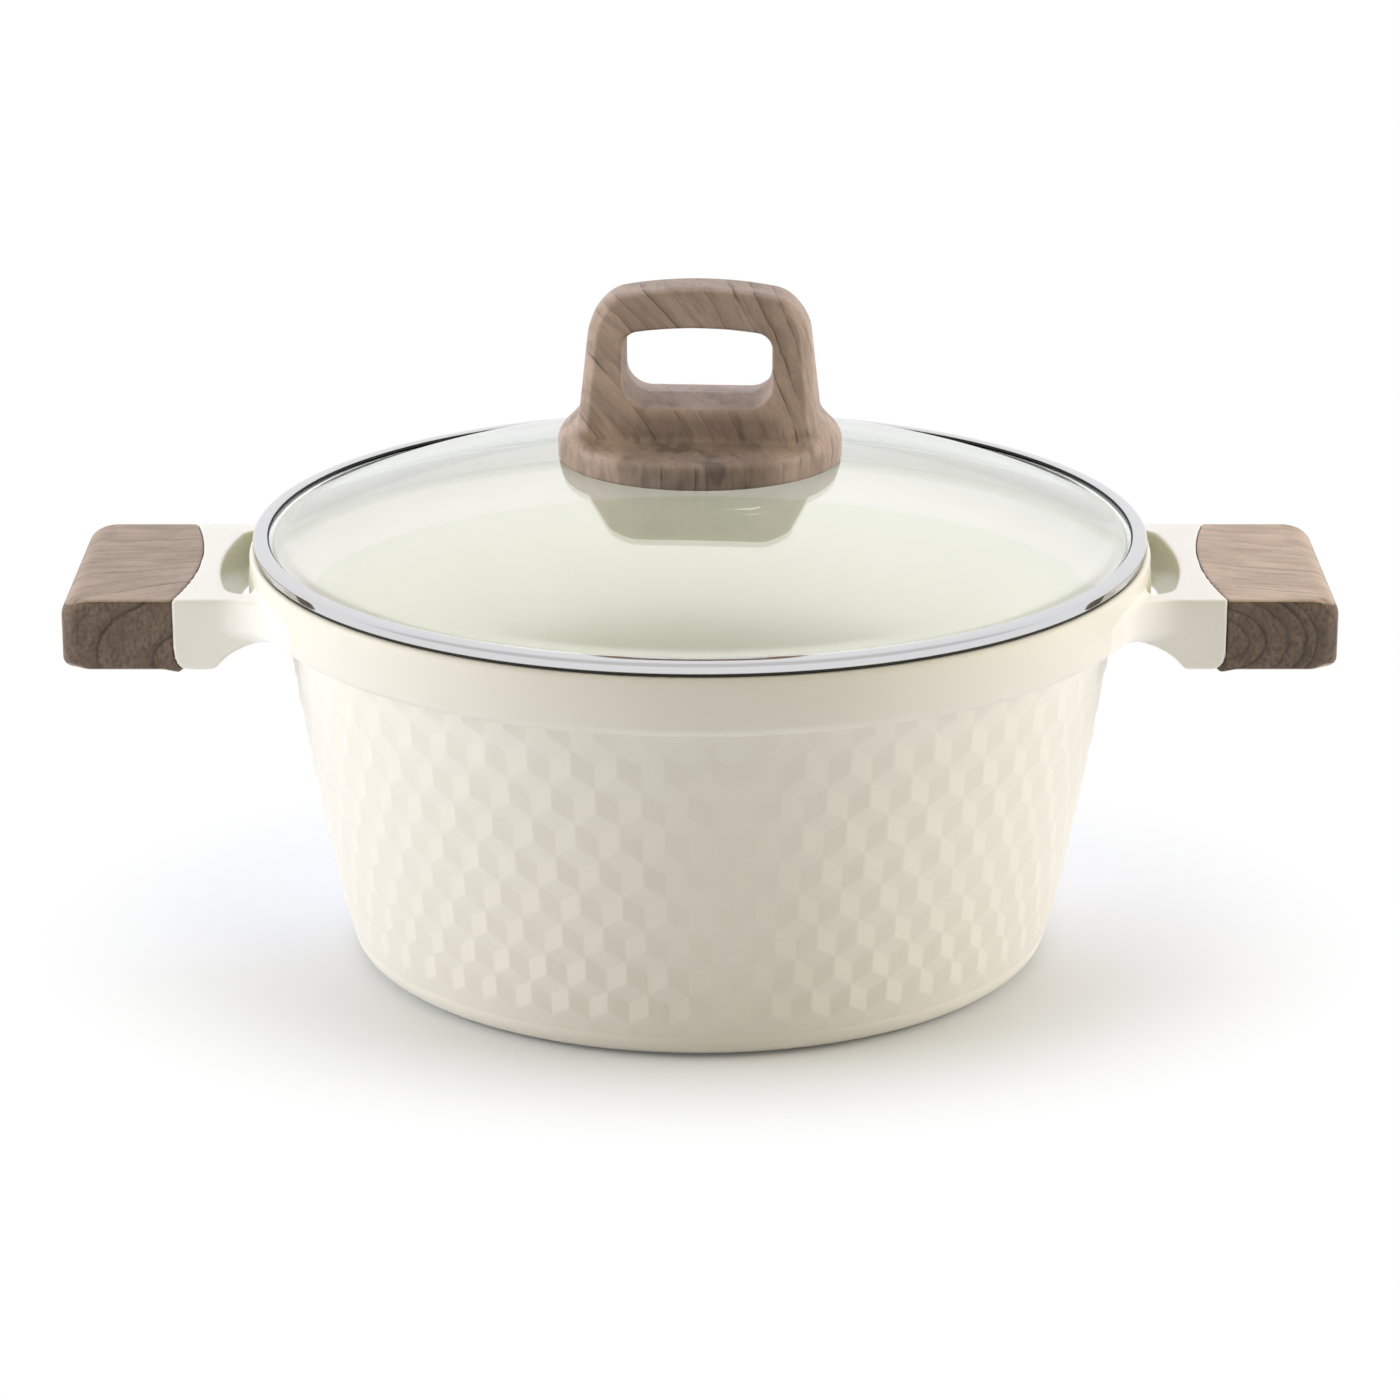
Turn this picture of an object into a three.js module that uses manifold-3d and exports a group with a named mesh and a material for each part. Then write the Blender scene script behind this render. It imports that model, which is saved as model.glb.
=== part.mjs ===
// Saucepan (casserole) with a domed glass lid: a cast aluminium pot with a cut-cube relief on its wall
// and two handles cast in one with it, wood-effect grips over the handles' tangs, and a lid of curved
// glass in a rolled steel rim with a wood-effect loop knob. Millimetres, +Z up, handles along X.
import * as THREE from 'three';
import { mergeVertices } from 'three/addons/utils/BufferGeometryUtils.js';
import Module from 'manifold-3d';

const wasm = await Module();
wasm.setup();

// ---- Clearances ----
const fitGap = 0.3; // round a piece that goes into, over or through another
const restGap = 0.2; // between faces that rest on each other

// ---- Facets ----
const wideFacets = 54; // round the pot, the lid and the base plate
const smallFacets = 18; // round screws, bushes and their holes

// ---- Pot: mouth and wall ----
const potHeight = 118; // standing surface to the top of the mouth
const mouthRadius = 121; // bore that takes the lid's skirt
const mouthDepth = 9.5;
const bandWall = 6; // mouth out to the smooth band round it
const bandHeight = 18;
const bandSweep = 4.5; // height of the sweep from the wall out to the band
const bandFillet = 1.6; // outer edge of the mouth
const bandStep = 9.2; // the band stands this far out from the relief's crests under it
const wallTaper = 16.2; // from the crests under the band in to the crests above the foot
const wallBow = 0.9; // how far the wall bows out half-way up
const wallThickness = 4.6; // inside of the cavity to the crests

// ---- Pot: foot and floor ----
const undersideHeight = 0.4; // the cast underside, above the standing surface
const footRound = 8.6; // from the crests above the foot in to the flat underside
const footHeight = 8.2; // rounded foot below the relief
const floorThickness = 6;
const cavityCorner = 14; // between the floor and the wall inside
const plateRadius = 78; // steel base plate for induction hobs
const plateThickness = 2;

// ---- Relief: stacked cubes seen corner-on, cut as flat rhombs ----
const cellsAround = 58;
const reliefDepth = 1.3; // crest to pit
const reliefStart = 7.9; // height of the lowest corners

// ---- Handles, cast in one with the pot ----
const handleDrop = 6.2; // mouth down to the top face of a handle
const handleDepth = 20.3; // top face to bottom face
const handleHalfWidth = 38;
const handleRootFillet = 12; // between a handle's flank and the band
const handleEdge = 2.6; // rounding of the long edges
const handleLength = 50; // band to the end of a grip
const splitDistance = 19; // band to the joint between casting and grip, at the flanks
const splitBulge = 4.7; // the grip bulges this far towards the pot between the flanks
const archRise = 8.3; // the neck's underside stands this far above the grip's
const archLength = 7.6; // band to where a handle reaches its full depth
const archSlope = 48; // degrees, from the neck down to the full depth
const archBend = 6; // hollow where that slope meets the neck
const slotWidth = 8.1; // band to the outer wall of the slot, in the middle
const slotBulge = 1; // that wall runs this much nearer to the band at its ends
const slotHalfLength = 31.5;
const slotCorner = 7;

// ---- Grips and what holds them ----
const gripCorner = 10; // outer corners in plan
const tangLength = 39; // band to the end of the tang
const tangHalfWidth = 25;
const tangThickness = 11;
const tangCorner = 5;
const lipDrop = 0.7; // the grip's lower lip stands this far below its underside
const lipWidth = 4;
const gripScrewDistance = 29; // band to the screw
const gripScrewRadius = 2;
const gripScrewHead = 4;
const gripScrewHeadHeight = 1.8;
const gripScrewBite = 7.5; // length of thread in the tang

// ---- Lid: glass and steel rim ----
const rimInset = 1; // band out beyond the rim
const steel = 0.5;
const rimBend = 1.2;
const rimLipWidth = 4.6; // top flange of the rim, over the glass
const skirtGap = 0.7; // mouth to the skirt that drops into it
const skirtDepth = 7;
const glassThickness = 3;
const glassEdge = 2.6; // ground edge inside the rim
const glassFlat = 2.1; // flat edge of the glass that shows inside the rim's lip
const domeRise = 23.9;
const glassHole = 5;

// ---- Lid: knob ----
const knobTurn = -3.4; // degrees, as tightened on the glass
const flangeHalfWidth = 39.8;
const flangeHalfDepth = 38.1;
const flangeHeight = 7; // outer edge of the flange
const flangeEdge = 2.2; // rounding of its top edge
const flangeRise = 1.6; // from that edge up to the root of the loop
const knobHeight = 47.2; // glass to the crown of the loop
const crownRadius = 112; // long arc of the loop's top
const shoulderRadius = 8.8;
const loopHalfWidth = 33.4; // at the root
const loopTopHalfWidth = 30.4; // at the shoulders
const loopHalfDepth = 12.6; // at the sill of the opening
const loopTopHalfDepth = 7.4; // at the shoulders
const loopEdge = 1.5; // rounding along the crown
const loopRootFillet = 7; // from the flange up into the loop
const sillHeight = 14; // glass to the sill of the opening
const openingHeight = 22.4;
const openingHalfWidth = 21.2;
const openingSillCorner = 7.5;
const openingTopCorner = 4;
const openingArch = 1.8; // rise of the opening's upper edge
const openingDraft = 0.8; // the opening narrows by this all round, from each face to the middle

// ---- Lid: knob fixing ----
const gasketRadius = 14;
const gasketBore = 6;
const gasketThickness = 1.4;
const insertRadius = 4;
const insertLength = 8.8;
const knobScrewRadius = 2;
const knobScrewHead = 4.6;
const knobScrewHeadHeight = 2.4;
const bushRadius = 9.5;
const bushThickness = 1.5;
const washerRadius = 8.5;
const washerThickness = 1;

// ---- Radii and levels that follow from the sizes ----
const bandRadius = mouthRadius + bandWall;
const wallTopRadius = bandRadius - bandStep; // crests of the relief, just under the band
const wallFootRadius = wallTopRadius - wallTaper;
const footRadius = wallFootRadius - footRound;
const splitReach = bandRadius + splitDistance;
const tangReach = bandRadius + tangLength;
const gripScrewReach = bandRadius + gripScrewDistance;
const rimRadius = bandRadius - rimInset;
const skirtRadius = mouthRadius - skirtGap;
const domeRadius = rimRadius - rimLipWidth - glassFlat;
const handleTop = potHeight - handleDrop;
const handleBottom = handleTop - handleDepth;
const floorTop = undersideHeight + floorThickness;
const bandBottom = potHeight - bandHeight;
const rimBottom = potHeight + restGap;
const glassEdgeBottom = rimBottom + steel + restGap;
const glassEdgeTop = glassEdgeBottom + glassEdge;
const rimTop = glassEdgeTop + restGap + steel;
const apex = glassEdgeTop + domeRise;
const domeCurve = (domeRadius ** 2 + domeRise ** 2) / (2 * domeRise); // radius of the glass's outer face
const domeCentre = apex - domeCurve;
// Height of the glass's outer face, or of a face parallel to it, at a radius.
const domeHeight = (r, offset = 0) => domeCentre + Math.sqrt((domeCurve + offset) ** 2 - r ** 2);
const gasketBottom = apex + restGap;
const insertBottom = gasketBottom + gasketThickness + fitGap;
const bushBottom = domeHeight(bushRadius, -glassThickness) - restGap - bushThickness;
const washerBottom = bushBottom - restGap - washerThickness;
const screwHeadTop = washerBottom - restGap;
const tangTop = (handleTop + handleBottom + tangThickness) / 2;
const tangBottom = tangTop - tangThickness;

// ---- Helpers ----
const lerp = THREE.MathUtils.lerp;
const radians = THREE.MathUtils.degToRad;

// A closed three.js geometry as a solid, with its faces turned out.
function solid(geometry) {
  const bare = geometry.clone();
  bare.deleteAttribute('normal');
  bare.deleteAttribute('uv');
  const merged = mergeVertices(bare, 1e-4);
  const points = merged.attributes.position.array;
  const index = merged.index.array;
  const corner = (i) => new THREE.Vector3().fromArray(points, 3 * i);
  const faces = [];
  let volume = 0;
  for (let i = 0; i < index.length; i += 3) {
    const [a, b, c] = index.slice(i, i + 3);
    if (a === b || b === c || c === a) continue;
    faces.push([a, b, c]);
    volume += corner(a).dot(corner(b).cross(corner(c)));
  }
  const outward = volume > 0 ? faces : faces.map(([a, b, c]) => [a, c, b]);
  const vertProperties = new Float32Array(points);
  const triVerts = new Uint32Array(outward.flat());
  return new wasm.Manifold(new wasm.Mesh({ numProp: 3, vertProperties, triVerts }));
}

// A solid of revolution about Z from [radius, height] points.
function revolve(points, segments) {
  const profile = points.map(([r, z]) => new THREE.Vector2(r, z));
  return solid(new THREE.LatheGeometry(profile, segments).rotateX(Math.PI / 2));
}

// A plain round bar between two heights.
function bar(radius, low, high, segments = smallFacets) {
  return revolve([[0, low], [radius, low], [radius, high], [0, high]], segments);
}

// A ring with a rectangular section.
function ring(inner, outer, low, high, segments = smallFacets) {
  return revolve([[inner, low], [outer, low], [outer, high], [inner, high], [inner, low]], segments);
}

// A plan outline raised from one height to another, with its long edges rounded.
function raise(shape, low, high, edge = 0) {
  const geometry = new THREE.ExtrudeGeometry(shape, {
    depth: high - low - 2 * edge,
    curveSegments: 5,
    bevelEnabled: edge > 0,
    bevelThickness: edge,
    bevelSize: edge,
    bevelOffset: -edge,
    bevelSegments: 2,
  });
  return solid(geometry.translate(0, 0, low + edge));
}

// An outline drawn in X and Z, carried through the part along Y. With draft it narrows by that much
// from each end to the middle.
function through(shape, halfLength, draft = 0) {
  const land = draft > 0 ? restGap : 2 * halfLength;
  const geometry = new THREE.ExtrudeGeometry(shape, {
    depth: land,
    curveSegments: 8,
    bevelEnabled: draft > 0,
    bevelThickness: halfLength - land / 2,
    bevelSize: -draft,
    bevelSegments: 1,
  });
  return solid(geometry.translate(0, 0, -land / 2).rotateX(Math.PI / 2));
}

// A closed skin over a stack of rings that all have the same number of points, lowest ring first.
// Every second column may stand half a step higher, so the quads of odd and even columns split
// along opposite diagonals; a fan closes each end.
function skin(rings) {
  const count = rings[0].length;
  const positions = [];
  const index = [];
  for (const points of rings) {
    for (const point of points) positions.push(point.x, point.y, point.z);
  }
  for (let i = 0; i + 1 < rings.length; i++) {
    for (let j = 0; j < count; j++) {
      const a = i * count + j;
      const b = i * count + ((j + 1) % count);
      const c = a + count;
      const d = b + count;
      if (j % 2) index.push(a, b, c, b, d, c);
      else index.push(a, b, d, a, d, c);
    }
  }
  for (const [ringIndex, up] of [[0, false], [rings.length - 1, true]]) {
    const hub = positions.length / 3;
    const height = rings[ringIndex].reduce((sum, point) => sum + point.z, 0) / count;
    positions.push(0, 0, height);
    for (let j = 0; j < count; j++) {
      const a = ringIndex * count + j;
      const b = ringIndex * count + ((j + 1) % count);
      index.push(...(up ? [hub, a, b] : [hub, b, a]));
    }
  }
  const geometry = new THREE.BufferGeometry();
  geometry.setAttribute('position', new THREE.Float32BufferAttribute(positions, 3));
  geometry.setIndex(index);
  return solid(geometry);
}

// ---- Pot ----

// Radius of the wall's crests at a height.
function wallRadius(z) {
  const t = THREE.MathUtils.clamp((z - footHeight) / (bandBottom - footHeight), 0, 1.2);
  return lerp(wallFootRadius, wallTopRadius, t) + wallBow * 4 * t * (1 - t);
}

// Heights of the relief's corners: half an edge apart, and the edges shrink with the wall's radius,
// so that the rhombs keep their shape all the way down.
function reliefLevels() {
  const levels = [reliefStart];
  while (levels.at(-1) < bandBottom + bandSweep) {
    const z = levels.at(-1);
    const edge = (2 * Math.PI * wallRadius(z)) / (cellsAround * Math.sqrt(3));
    levels.push(z + edge / 2);
  }
  return levels;
}

// Three kinds of corner repeat up each column: pit, crest and half-way, at 0, 2 and 1 half depths.
function reliefPoint(column, level, levels) {
  const odd = column % 2;
  const kind = ((((3 * (1 - odd) - level) / 2) % 3) + 3) % 3;
  const radius = wallRadius(levels[level]) - reliefDepth + (kind * reliefDepth) / 2;
  return ringPoint(column, radius, levels[level]);
}

// A point of a ring, by column number; the columns straddle the front and the side axes.
function ringPoint(column, radius, z) {
  const angle = ((column + 0.5) * Math.PI) / cellsAround - Math.PI / 2;
  return new THREE.Vector3(radius * Math.cos(angle), radius * Math.sin(angle), z);
}

function potWall() {
  const columns = [...Array(2 * cellsAround).keys()];
  const footTop = wallRadius(footHeight) - reliefDepth;
  const rings = [];
  const footSteps = 2;
  for (let i = 0; i <= footSteps; i++) {
    const turn = (i / footSteps) * (Math.PI / 2);
    const radius = lerp(footRadius, footTop, Math.sin(turn));
    const z = lerp(undersideHeight, reliefStart - 1, 1 - Math.cos(turn));
    rings.push(columns.map((column) => ringPoint(column, radius, z)));
  }
  const levels = reliefLevels();
  for (let level = 0; level + 1 < levels.length; level += 2) {
    rings.push(columns.map((column) => reliefPoint(column, level + (1 - (column % 2)), levels)));
  }
  return skin(rings);
}

// The smooth band: a concave sweep out from the wall, a straight side and a rounded upper edge.
function potBand() {
  const inner = wallTopRadius - reliefDepth / 2;
  const points = [[0, bandBottom], [inner, bandBottom]];
  const sweep = 3;
  for (let i = 1; i <= sweep; i++) {
    const turn = (i / sweep) * (Math.PI / 2);
    points.push([lerp(inner, bandRadius, Math.sin(turn)), bandBottom + bandSweep * (1 - Math.cos(turn))]);
  }
  for (const turn of [0, Math.PI / 4, Math.PI / 2]) {
    points.push([
      bandRadius - bandFillet * (1 - Math.cos(turn)),
      potHeight - bandFillet * (1 - Math.sin(turn)),
    ]);
  }
  points.push([0, potHeight]);
  return revolve(points, wideFacets);
}

// What the pot holds: floor, rounded corner, tapering wall, and the stepped mouth for the lid.
function potCavity() {
  const inner = (z) => wallRadius(z) - wallThickness;
  const cornerTop = floorTop + cavityCorner;
  const floorEdge = inner(cornerTop) - cavityCorner;
  const points = [[0, floorTop]];
  for (let i = 0; i <= 3; i++) {
    const turn = (i / 3) * (Math.PI / 2);
    points.push([floorEdge + cavityCorner * Math.sin(turn), floorTop + cavityCorner * (1 - Math.cos(turn))]);
  }
  for (const t of [0.5, 1]) {
    const z = lerp(cornerTop, bandBottom, t);
    points.push([inner(z), z]);
  }
  points.push([mouthRadius, potHeight - mouthDepth], [mouthRadius, potHeight + 1], [0, potHeight + 1]);
  return revolve(points, wideFacets);
}

// Plan of the whole handle on the +X side, from inside the wall out to the end of the grip.
function handlePlan() {
  const reach = bandRadius + handleLength;
  const root = wallTopRadius - 4 * wallThickness;
  const centreY = handleHalfWidth + handleRootFillet;
  const centreX = Math.sqrt((bandRadius + handleRootFillet) ** 2 - centreY ** 2);
  const meet = bandRadius / (bandRadius + handleRootFillet);
  const start = Math.atan2(centreY, -centreX);
  const shape = new THREE.Shape();
  shape.moveTo(root, -centreY * meet);
  shape.lineTo(centreX * meet, -centreY * meet);
  shape.absarc(centreX, -centreY, handleRootFillet, start, Math.PI / 2, true);
  shape.absarc(reach - gripCorner, gripCorner - handleHalfWidth, gripCorner, -Math.PI / 2, 0, false);
  shape.absarc(reach - gripCorner, handleHalfWidth - gripCorner, gripCorner, 0, Math.PI / 2, false);
  shape.absarc(centreX, centreY, handleRootFillet, -Math.PI / 2, -start, true);
  shape.lineTo(root, centreY * meet);
  return shape;
}

// Everything outside the joint line between casting and grip, shifted outwards by a gap.
function beyondSplit(gap) {
  const x = splitReach + gap;
  const far = bandRadius + 2 * handleLength;
  const y = handleHalfWidth;
  const shape = new THREE.Shape();
  shape.moveTo(x, -2 * y);
  shape.lineTo(x, -y);
  shape.quadraticCurveTo(x - 2 * splitBulge, 0, x, y);
  shape.lineTo(x, 2 * y);
  shape.lineTo(far, 2 * y);
  shape.lineTo(far, -2 * y);
  return raise(shape, 0, potHeight);
}

const wholeHandle = () => raise(handlePlan(), handleBottom, handleTop, handleEdge);

// The space under the casting's neck: level below the slot, then down a slope to the full depth.
function archCut() {
  const low = handleBottom - handleDepth;
  const crown = handleBottom + archRise;
  const slope = radians(archSlope);
  const end = bandRadius + archLength;
  const bend = end - archRise / Math.tan(slope);
  const root = wallTopRadius - 5 * wallThickness;
  const shape = new THREE.Shape();
  shape.moveTo(root, low);
  shape.lineTo(root, crown);
  const half = archBend / 2;
  shape.lineTo(bend - half, crown);
  shape.quadraticCurveTo(bend, crown, bend + half * Math.cos(slope), crown - half * Math.sin(slope));
  shape.lineTo(end, handleBottom);
  shape.lineTo(end + handleDepth / Math.tan(slope), low);
  return through(shape, 2 * handleHalfWidth);
}

// Crescent slot between the band and the handle.
function slotCut() {
  const inner = bandRadius + fitGap;
  const side = slotHalfLength - slotCorner;
  const end = bandRadius + slotWidth - slotBulge;
  const innerSide = Math.sqrt(inner ** 2 - slotHalfLength ** 2);
  const shape = new THREE.Shape();
  shape.moveTo(innerSide, -slotHalfLength);
  shape.lineTo(end - slotCorner, -slotHalfLength);
  shape.quadraticCurveTo(end, -slotHalfLength, end, -side);
  shape.quadraticCurveTo(end + 2 * slotBulge, 0, end, side);
  shape.quadraticCurveTo(end, slotHalfLength, end - slotCorner, slotHalfLength);
  shape.lineTo(innerSide, slotHalfLength);
  const half = Math.asin(slotHalfLength / inner);
  shape.absarc(0, 0, inner, half, -half, true);
  return raise(shape, handleBottom - 1, handleTop + 1);
}

// Tongue of the casting that the grip slides over.
function tang(gap) {
  const reach = tangReach + gap;
  const half = tangHalfWidth + gap;
  const shape = new THREE.Shape();
  shape.moveTo(splitReach - 2 * splitBulge, -half);
  shape.lineTo(reach - tangCorner, -half);
  shape.absarc(reach - tangCorner, tangCorner - half, tangCorner, -Math.PI / 2, 0, false);
  shape.absarc(reach - tangCorner, half - tangCorner, tangCorner, 0, Math.PI / 2, false);
  shape.lineTo(splitReach - 2 * splitBulge, half);
  return raise(shape, tangBottom - gap, tangTop + gap);
}

const gripScrewAxis = (item) => item.translate([gripScrewReach, 0, 0]);

function castHandle() {
  const neck = wholeHandle().subtract(beyondSplit(0)).subtract(archCut());
  const thread = gripScrewAxis(bar(gripScrewRadius + fitGap, handleBottom, tangBottom + gripScrewBite + fitGap));
  return neck.add(tang(0)).subtract(thread);
}

const turned = (item) => item.rotate([0, 0, 180]);

function potBody() {
  const handle = castHandle();
  const slot = slotCut();
  const plateSeat = bar(plateRadius + fitGap, undersideHeight - 1, plateThickness + fitGap, wideFacets);
  return potWall()
    .add(potBand())
    .add(handle)
    .add(turned(handle))
    .subtract(potCavity())
    .subtract(slot)
    .subtract(turned(slot))
    .subtract(plateSeat);
}

function basePlate() {
  const chamfer = plateThickness / 4;
  return revolve([
    [0, 0],
    [plateRadius - chamfer, 0],
    [plateRadius, chamfer],
    [plateRadius, plateThickness],
    [0, plateThickness],
  ], wideFacets);
}

// ---- Grips ----

// Lip under the inner end of a grip, following the joint line.
function gripLip() {
  const strip = beyondSplit(fitGap).subtract(beyondSplit(fitGap + lipWidth));
  return raise(handlePlan(), handleBottom - lipDrop, handleBottom + handleDepth / 4, handleEdge).intersect(strip);
}

function grip() {
  const low = handleBottom - lipDrop - 1;
  const hole = bar(gripScrewRadius + fitGap, low, tangBottom);
  const sink = bar(gripScrewHead + fitGap, low, gripScrewSeat());
  return wholeHandle()
    .intersect(beyondSplit(fitGap))
    .add(gripLip())
    .subtract(tang(fitGap))
    .subtract(gripScrewAxis(hole))
    .subtract(gripScrewAxis(sink));
}

// Height of the shoulder that the grip screw's head bears on.
function gripScrewSeat() {
  return handleBottom + gripScrewHeadHeight + fitGap;
}

function gripScrew() {
  const headTop = gripScrewSeat() - restGap;
  const headBottom = headTop - gripScrewHeadHeight;
  const dome = gripScrewHeadHeight / 3;
  const points = [
    [0, headBottom],
    [gripScrewHead - 2 * dome, headBottom],
    [gripScrewHead - dome / 2, headBottom + dome / 2],
    [gripScrewHead, headBottom + 2 * dome],
    [gripScrewHead, headTop],
    [gripScrewRadius, headTop],
    [gripScrewRadius, tangBottom + gripScrewBite],
    [0, tangBottom + gripScrewBite],
  ];
  return gripScrewAxis(revolve(points, smallFacets));
}

// ---- Lid ----

function lidGlass() {
  const outer = rimRadius - steel - fitGap;
  const innerDome = Math.sqrt((domeCurve - glassThickness) ** 2 - (glassEdgeBottom - domeCentre) ** 2);
  const steps = 4;
  const points = [[glassHole, domeHeight(glassHole)]];
  for (let i = 0; i <= steps; i++) {
    const r = lerp(gasketRadius, domeRadius, i / steps);
    points.push([r, domeHeight(r)]);
  }
  points.push([outer - glassEdge / 4, glassEdgeTop], [outer, glassEdgeTop - glassEdge / 4]);
  points.push([outer, glassEdgeBottom + glassEdge / 4], [outer - glassEdge / 4, glassEdgeBottom]);
  for (let i = steps; i >= 0; i--) {
    const r = lerp(gasketRadius, innerDome, i / steps);
    points.push([r, domeHeight(r, -glassThickness)]);
  }
  points.push([glassHole, domeHeight(glassHole, -glassThickness)], points[0]);
  return revolve(points, wideFacets);
}

// Rolled steel rim: a lip over the glass, a rounded side, a flange that rests on the pot's mouth,
// and a skirt that drops into it.
function lidRim() {
  const skirtBottom = rimBottom - skirtDepth;
  const insideBend = rimBend - steel;
  const points = [[skirtRadius, skirtBottom], [skirtRadius, rimBottom]];
  const bend = (z, radius, from, to) => {
    for (const t of radius > steel ? [0, 0.5, 1] : [0, 1]) {
      const turn = lerp(from, to, t);
      points.push([rimRadius - rimBend + radius * Math.cos(turn), z + radius * Math.sin(turn)]);
    }
  };
  bend(rimBottom + rimBend, rimBend, -Math.PI / 2, 0);
  bend(rimTop - rimBend, rimBend, 0, Math.PI / 2);
  points.push([rimRadius - rimLipWidth, rimTop], [rimRadius - rimLipWidth, rimTop - steel]);
  bend(rimTop - rimBend, insideBend, Math.PI / 2, 0);
  bend(rimBottom + rimBend, insideBend, 0, -Math.PI / 2);
  points.push([skirtRadius - steel, rimBottom + steel], [skirtRadius - steel, skirtBottom], points[0]);
  return revolve(points, wideFacets);
}

// Half width and half depth of the knob, and how square its section is, at a height over the glass.
function knobSections() {
  const flangeBottom = domeHeight(flangeHalfWidth) - apex;
  const flangeTop = flangeBottom + flangeHeight;
  const rootBottom = flangeTop + flangeRise;
  const rootTop = rootBottom + loopRootFillet;
  const cornerX = loopTopHalfWidth - shoulderRadius;
  const cornerZ = knobHeight - crownRadius + Math.sqrt((crownRadius - shoulderRadius) ** 2 - cornerX ** 2);
  const depthAt = (z) => lerp(loopHalfDepth, loopTopHalfDepth, (z - sillHeight) / (cornerZ - sillHeight));
  const sections = [
    [flangeBottom - 1, flangeHalfWidth, flangeHalfDepth, 2],
    [flangeTop - flangeEdge, flangeHalfWidth, flangeHalfDepth, 2],
  ];
  for (const turn of [45, 90].map(radians)) {
    const inset = flangeEdge * (1 - Math.cos(turn));
    const z = flangeTop - flangeEdge * (1 - Math.sin(turn));
    sections.push([z, flangeHalfWidth - inset, flangeHalfDepth - inset, 2]);
  }
  const bowX = loopRootFillet / 2;
  for (let i = 0; i <= 3; i++) {
    const turn = (i / 3) * (Math.PI / 2);
    const z = rootBottom + loopRootFillet * (1 - Math.cos(turn));
    const spread = 1 - Math.sin(turn);
    const square = lerp(2.4, 4.5, i / 3);
    sections.push([z, loopHalfWidth + bowX * spread, depthAt(rootTop) + loopRootFillet * spread, square]);
  }
  for (const t of [0.5, 1]) {
    const z = lerp(rootTop, cornerZ, t);
    sections.push([z, lerp(loopHalfWidth, loopTopHalfWidth, t), depthAt(z), 4.5]);
  }
  const crownTurn = Math.asin(cornerX / (crownRadius - shoulderRadius));
  for (const t of [0.3, 0.6, 1]) {
    const turn = t * (Math.PI / 2 - crownTurn);
    const z = cornerZ + shoulderRadius * Math.sin(turn);
    sections.push([z, cornerX + shoulderRadius * Math.cos(turn), depthAt(z), 4.5]);
  }
  for (const t of [0.6, 0.2]) {
    const turn = t * crownTurn;
    const z = knobHeight - crownRadius * (1 - Math.cos(turn));
    sections.push([z, crownRadius * Math.sin(turn), depthAt(z) - loopEdge * (1 - t), 4.5]);
  }
  return sections;
}

function knobOuter() {
  const count = 32;
  const power = (value, exponent) => Math.sign(value) * Math.abs(value) ** exponent;
  const rings = knobSections().map(([z, halfWidth, halfDepth, square]) =>
    [...Array(count).keys()].map((j) => {
      const angle = (2 * Math.PI * j) / count;
      const x = halfWidth * power(Math.cos(angle), 2 / square);
      const y = halfDepth * power(Math.sin(angle), 2 / square);
      return new THREE.Vector3(x, y, apex + z);
    }),
  );
  return skin(rings);
}

// Finger opening of the loop: level sill with large corners, an arched upper edge, and draft from
// both faces in to the middle.
function knobOpening() {
  const low = apex + sillHeight;
  const high = low + openingHeight - openingArch;
  const w = openingHalfWidth;
  const shape = new THREE.Shape();
  shape.moveTo(openingSillCorner - w, low);
  shape.lineTo(w - openingSillCorner, low);
  shape.absarc(w - openingSillCorner, low + openingSillCorner, openingSillCorner, -Math.PI / 2, 0, false);
  shape.absarc(w - openingTopCorner, high - openingTopCorner, openingTopCorner, 0, Math.PI / 2, false);
  shape.quadraticCurveTo(0, high + 2 * openingArch, openingTopCorner - w, high);
  shape.absarc(openingTopCorner - w, high - openingTopCorner, openingTopCorner, Math.PI / 2, Math.PI, false);
  shape.absarc(openingSillCorner - w, low + openingSillCorner, openingSillCorner, Math.PI, 1.5 * Math.PI, false);
  return through(shape, 2 * loopHalfDepth, 2 * openingDraft);
}

function lidKnob() {
  const underside = domeHeightProfile();
  const gasketSeat = bar(gasketRadius + fitGap, apex - 1, gasketBottom + gasketThickness + restGap);
  const insertSeat = bar(insertRadius + fitGap, apex, insertBottom + insertLength + fitGap);
  return knobOuter()
    .subtract(underside)
    .subtract(knobOpening())
    .subtract(gasketSeat)
    .subtract(insertSeat)
    .rotate([0, 0, knobTurn]);
}

// The space that the glass takes below the knob, with the gap the knob keeps to it.
function domeHeightProfile() {
  const reach = flangeHalfWidth + 2;
  const points = [[0, apex - 2 * flangeHeight], [reach, apex - 2 * flangeHeight]];
  for (let i = 6; i >= 0; i--) {
    const r = (reach * i) / 6;
    points.push([r, domeHeight(r, fitGap)]);
  }
  return revolve(points, wideFacets / 2);
}

const knobGasket = () => ring(gasketBore, gasketRadius, gasketBottom, gasketBottom + gasketThickness);

const knobInsert = () => ring(knobScrewRadius + fitGap, insertRadius, insertBottom, insertBottom + insertLength);

// Soft bush: a collar round the screw in the glass's hole and a flange under the glass.
function glassBush() {
  const bore = knobScrewRadius + fitGap;
  const collar = glassHole - fitGap;
  const flangeTop = bushBottom + bushThickness;
  return revolve([
    [bore, bushBottom],
    [bushRadius, bushBottom],
    [bushRadius, flangeTop],
    [collar, flangeTop],
    [collar, apex - restGap],
    [bore, apex - restGap],
    [bore, bushBottom],
  ], smallFacets);
}

const knobWasher = () => ring(knobScrewRadius + fitGap, washerRadius, washerBottom, washerBottom + washerThickness);

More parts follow.
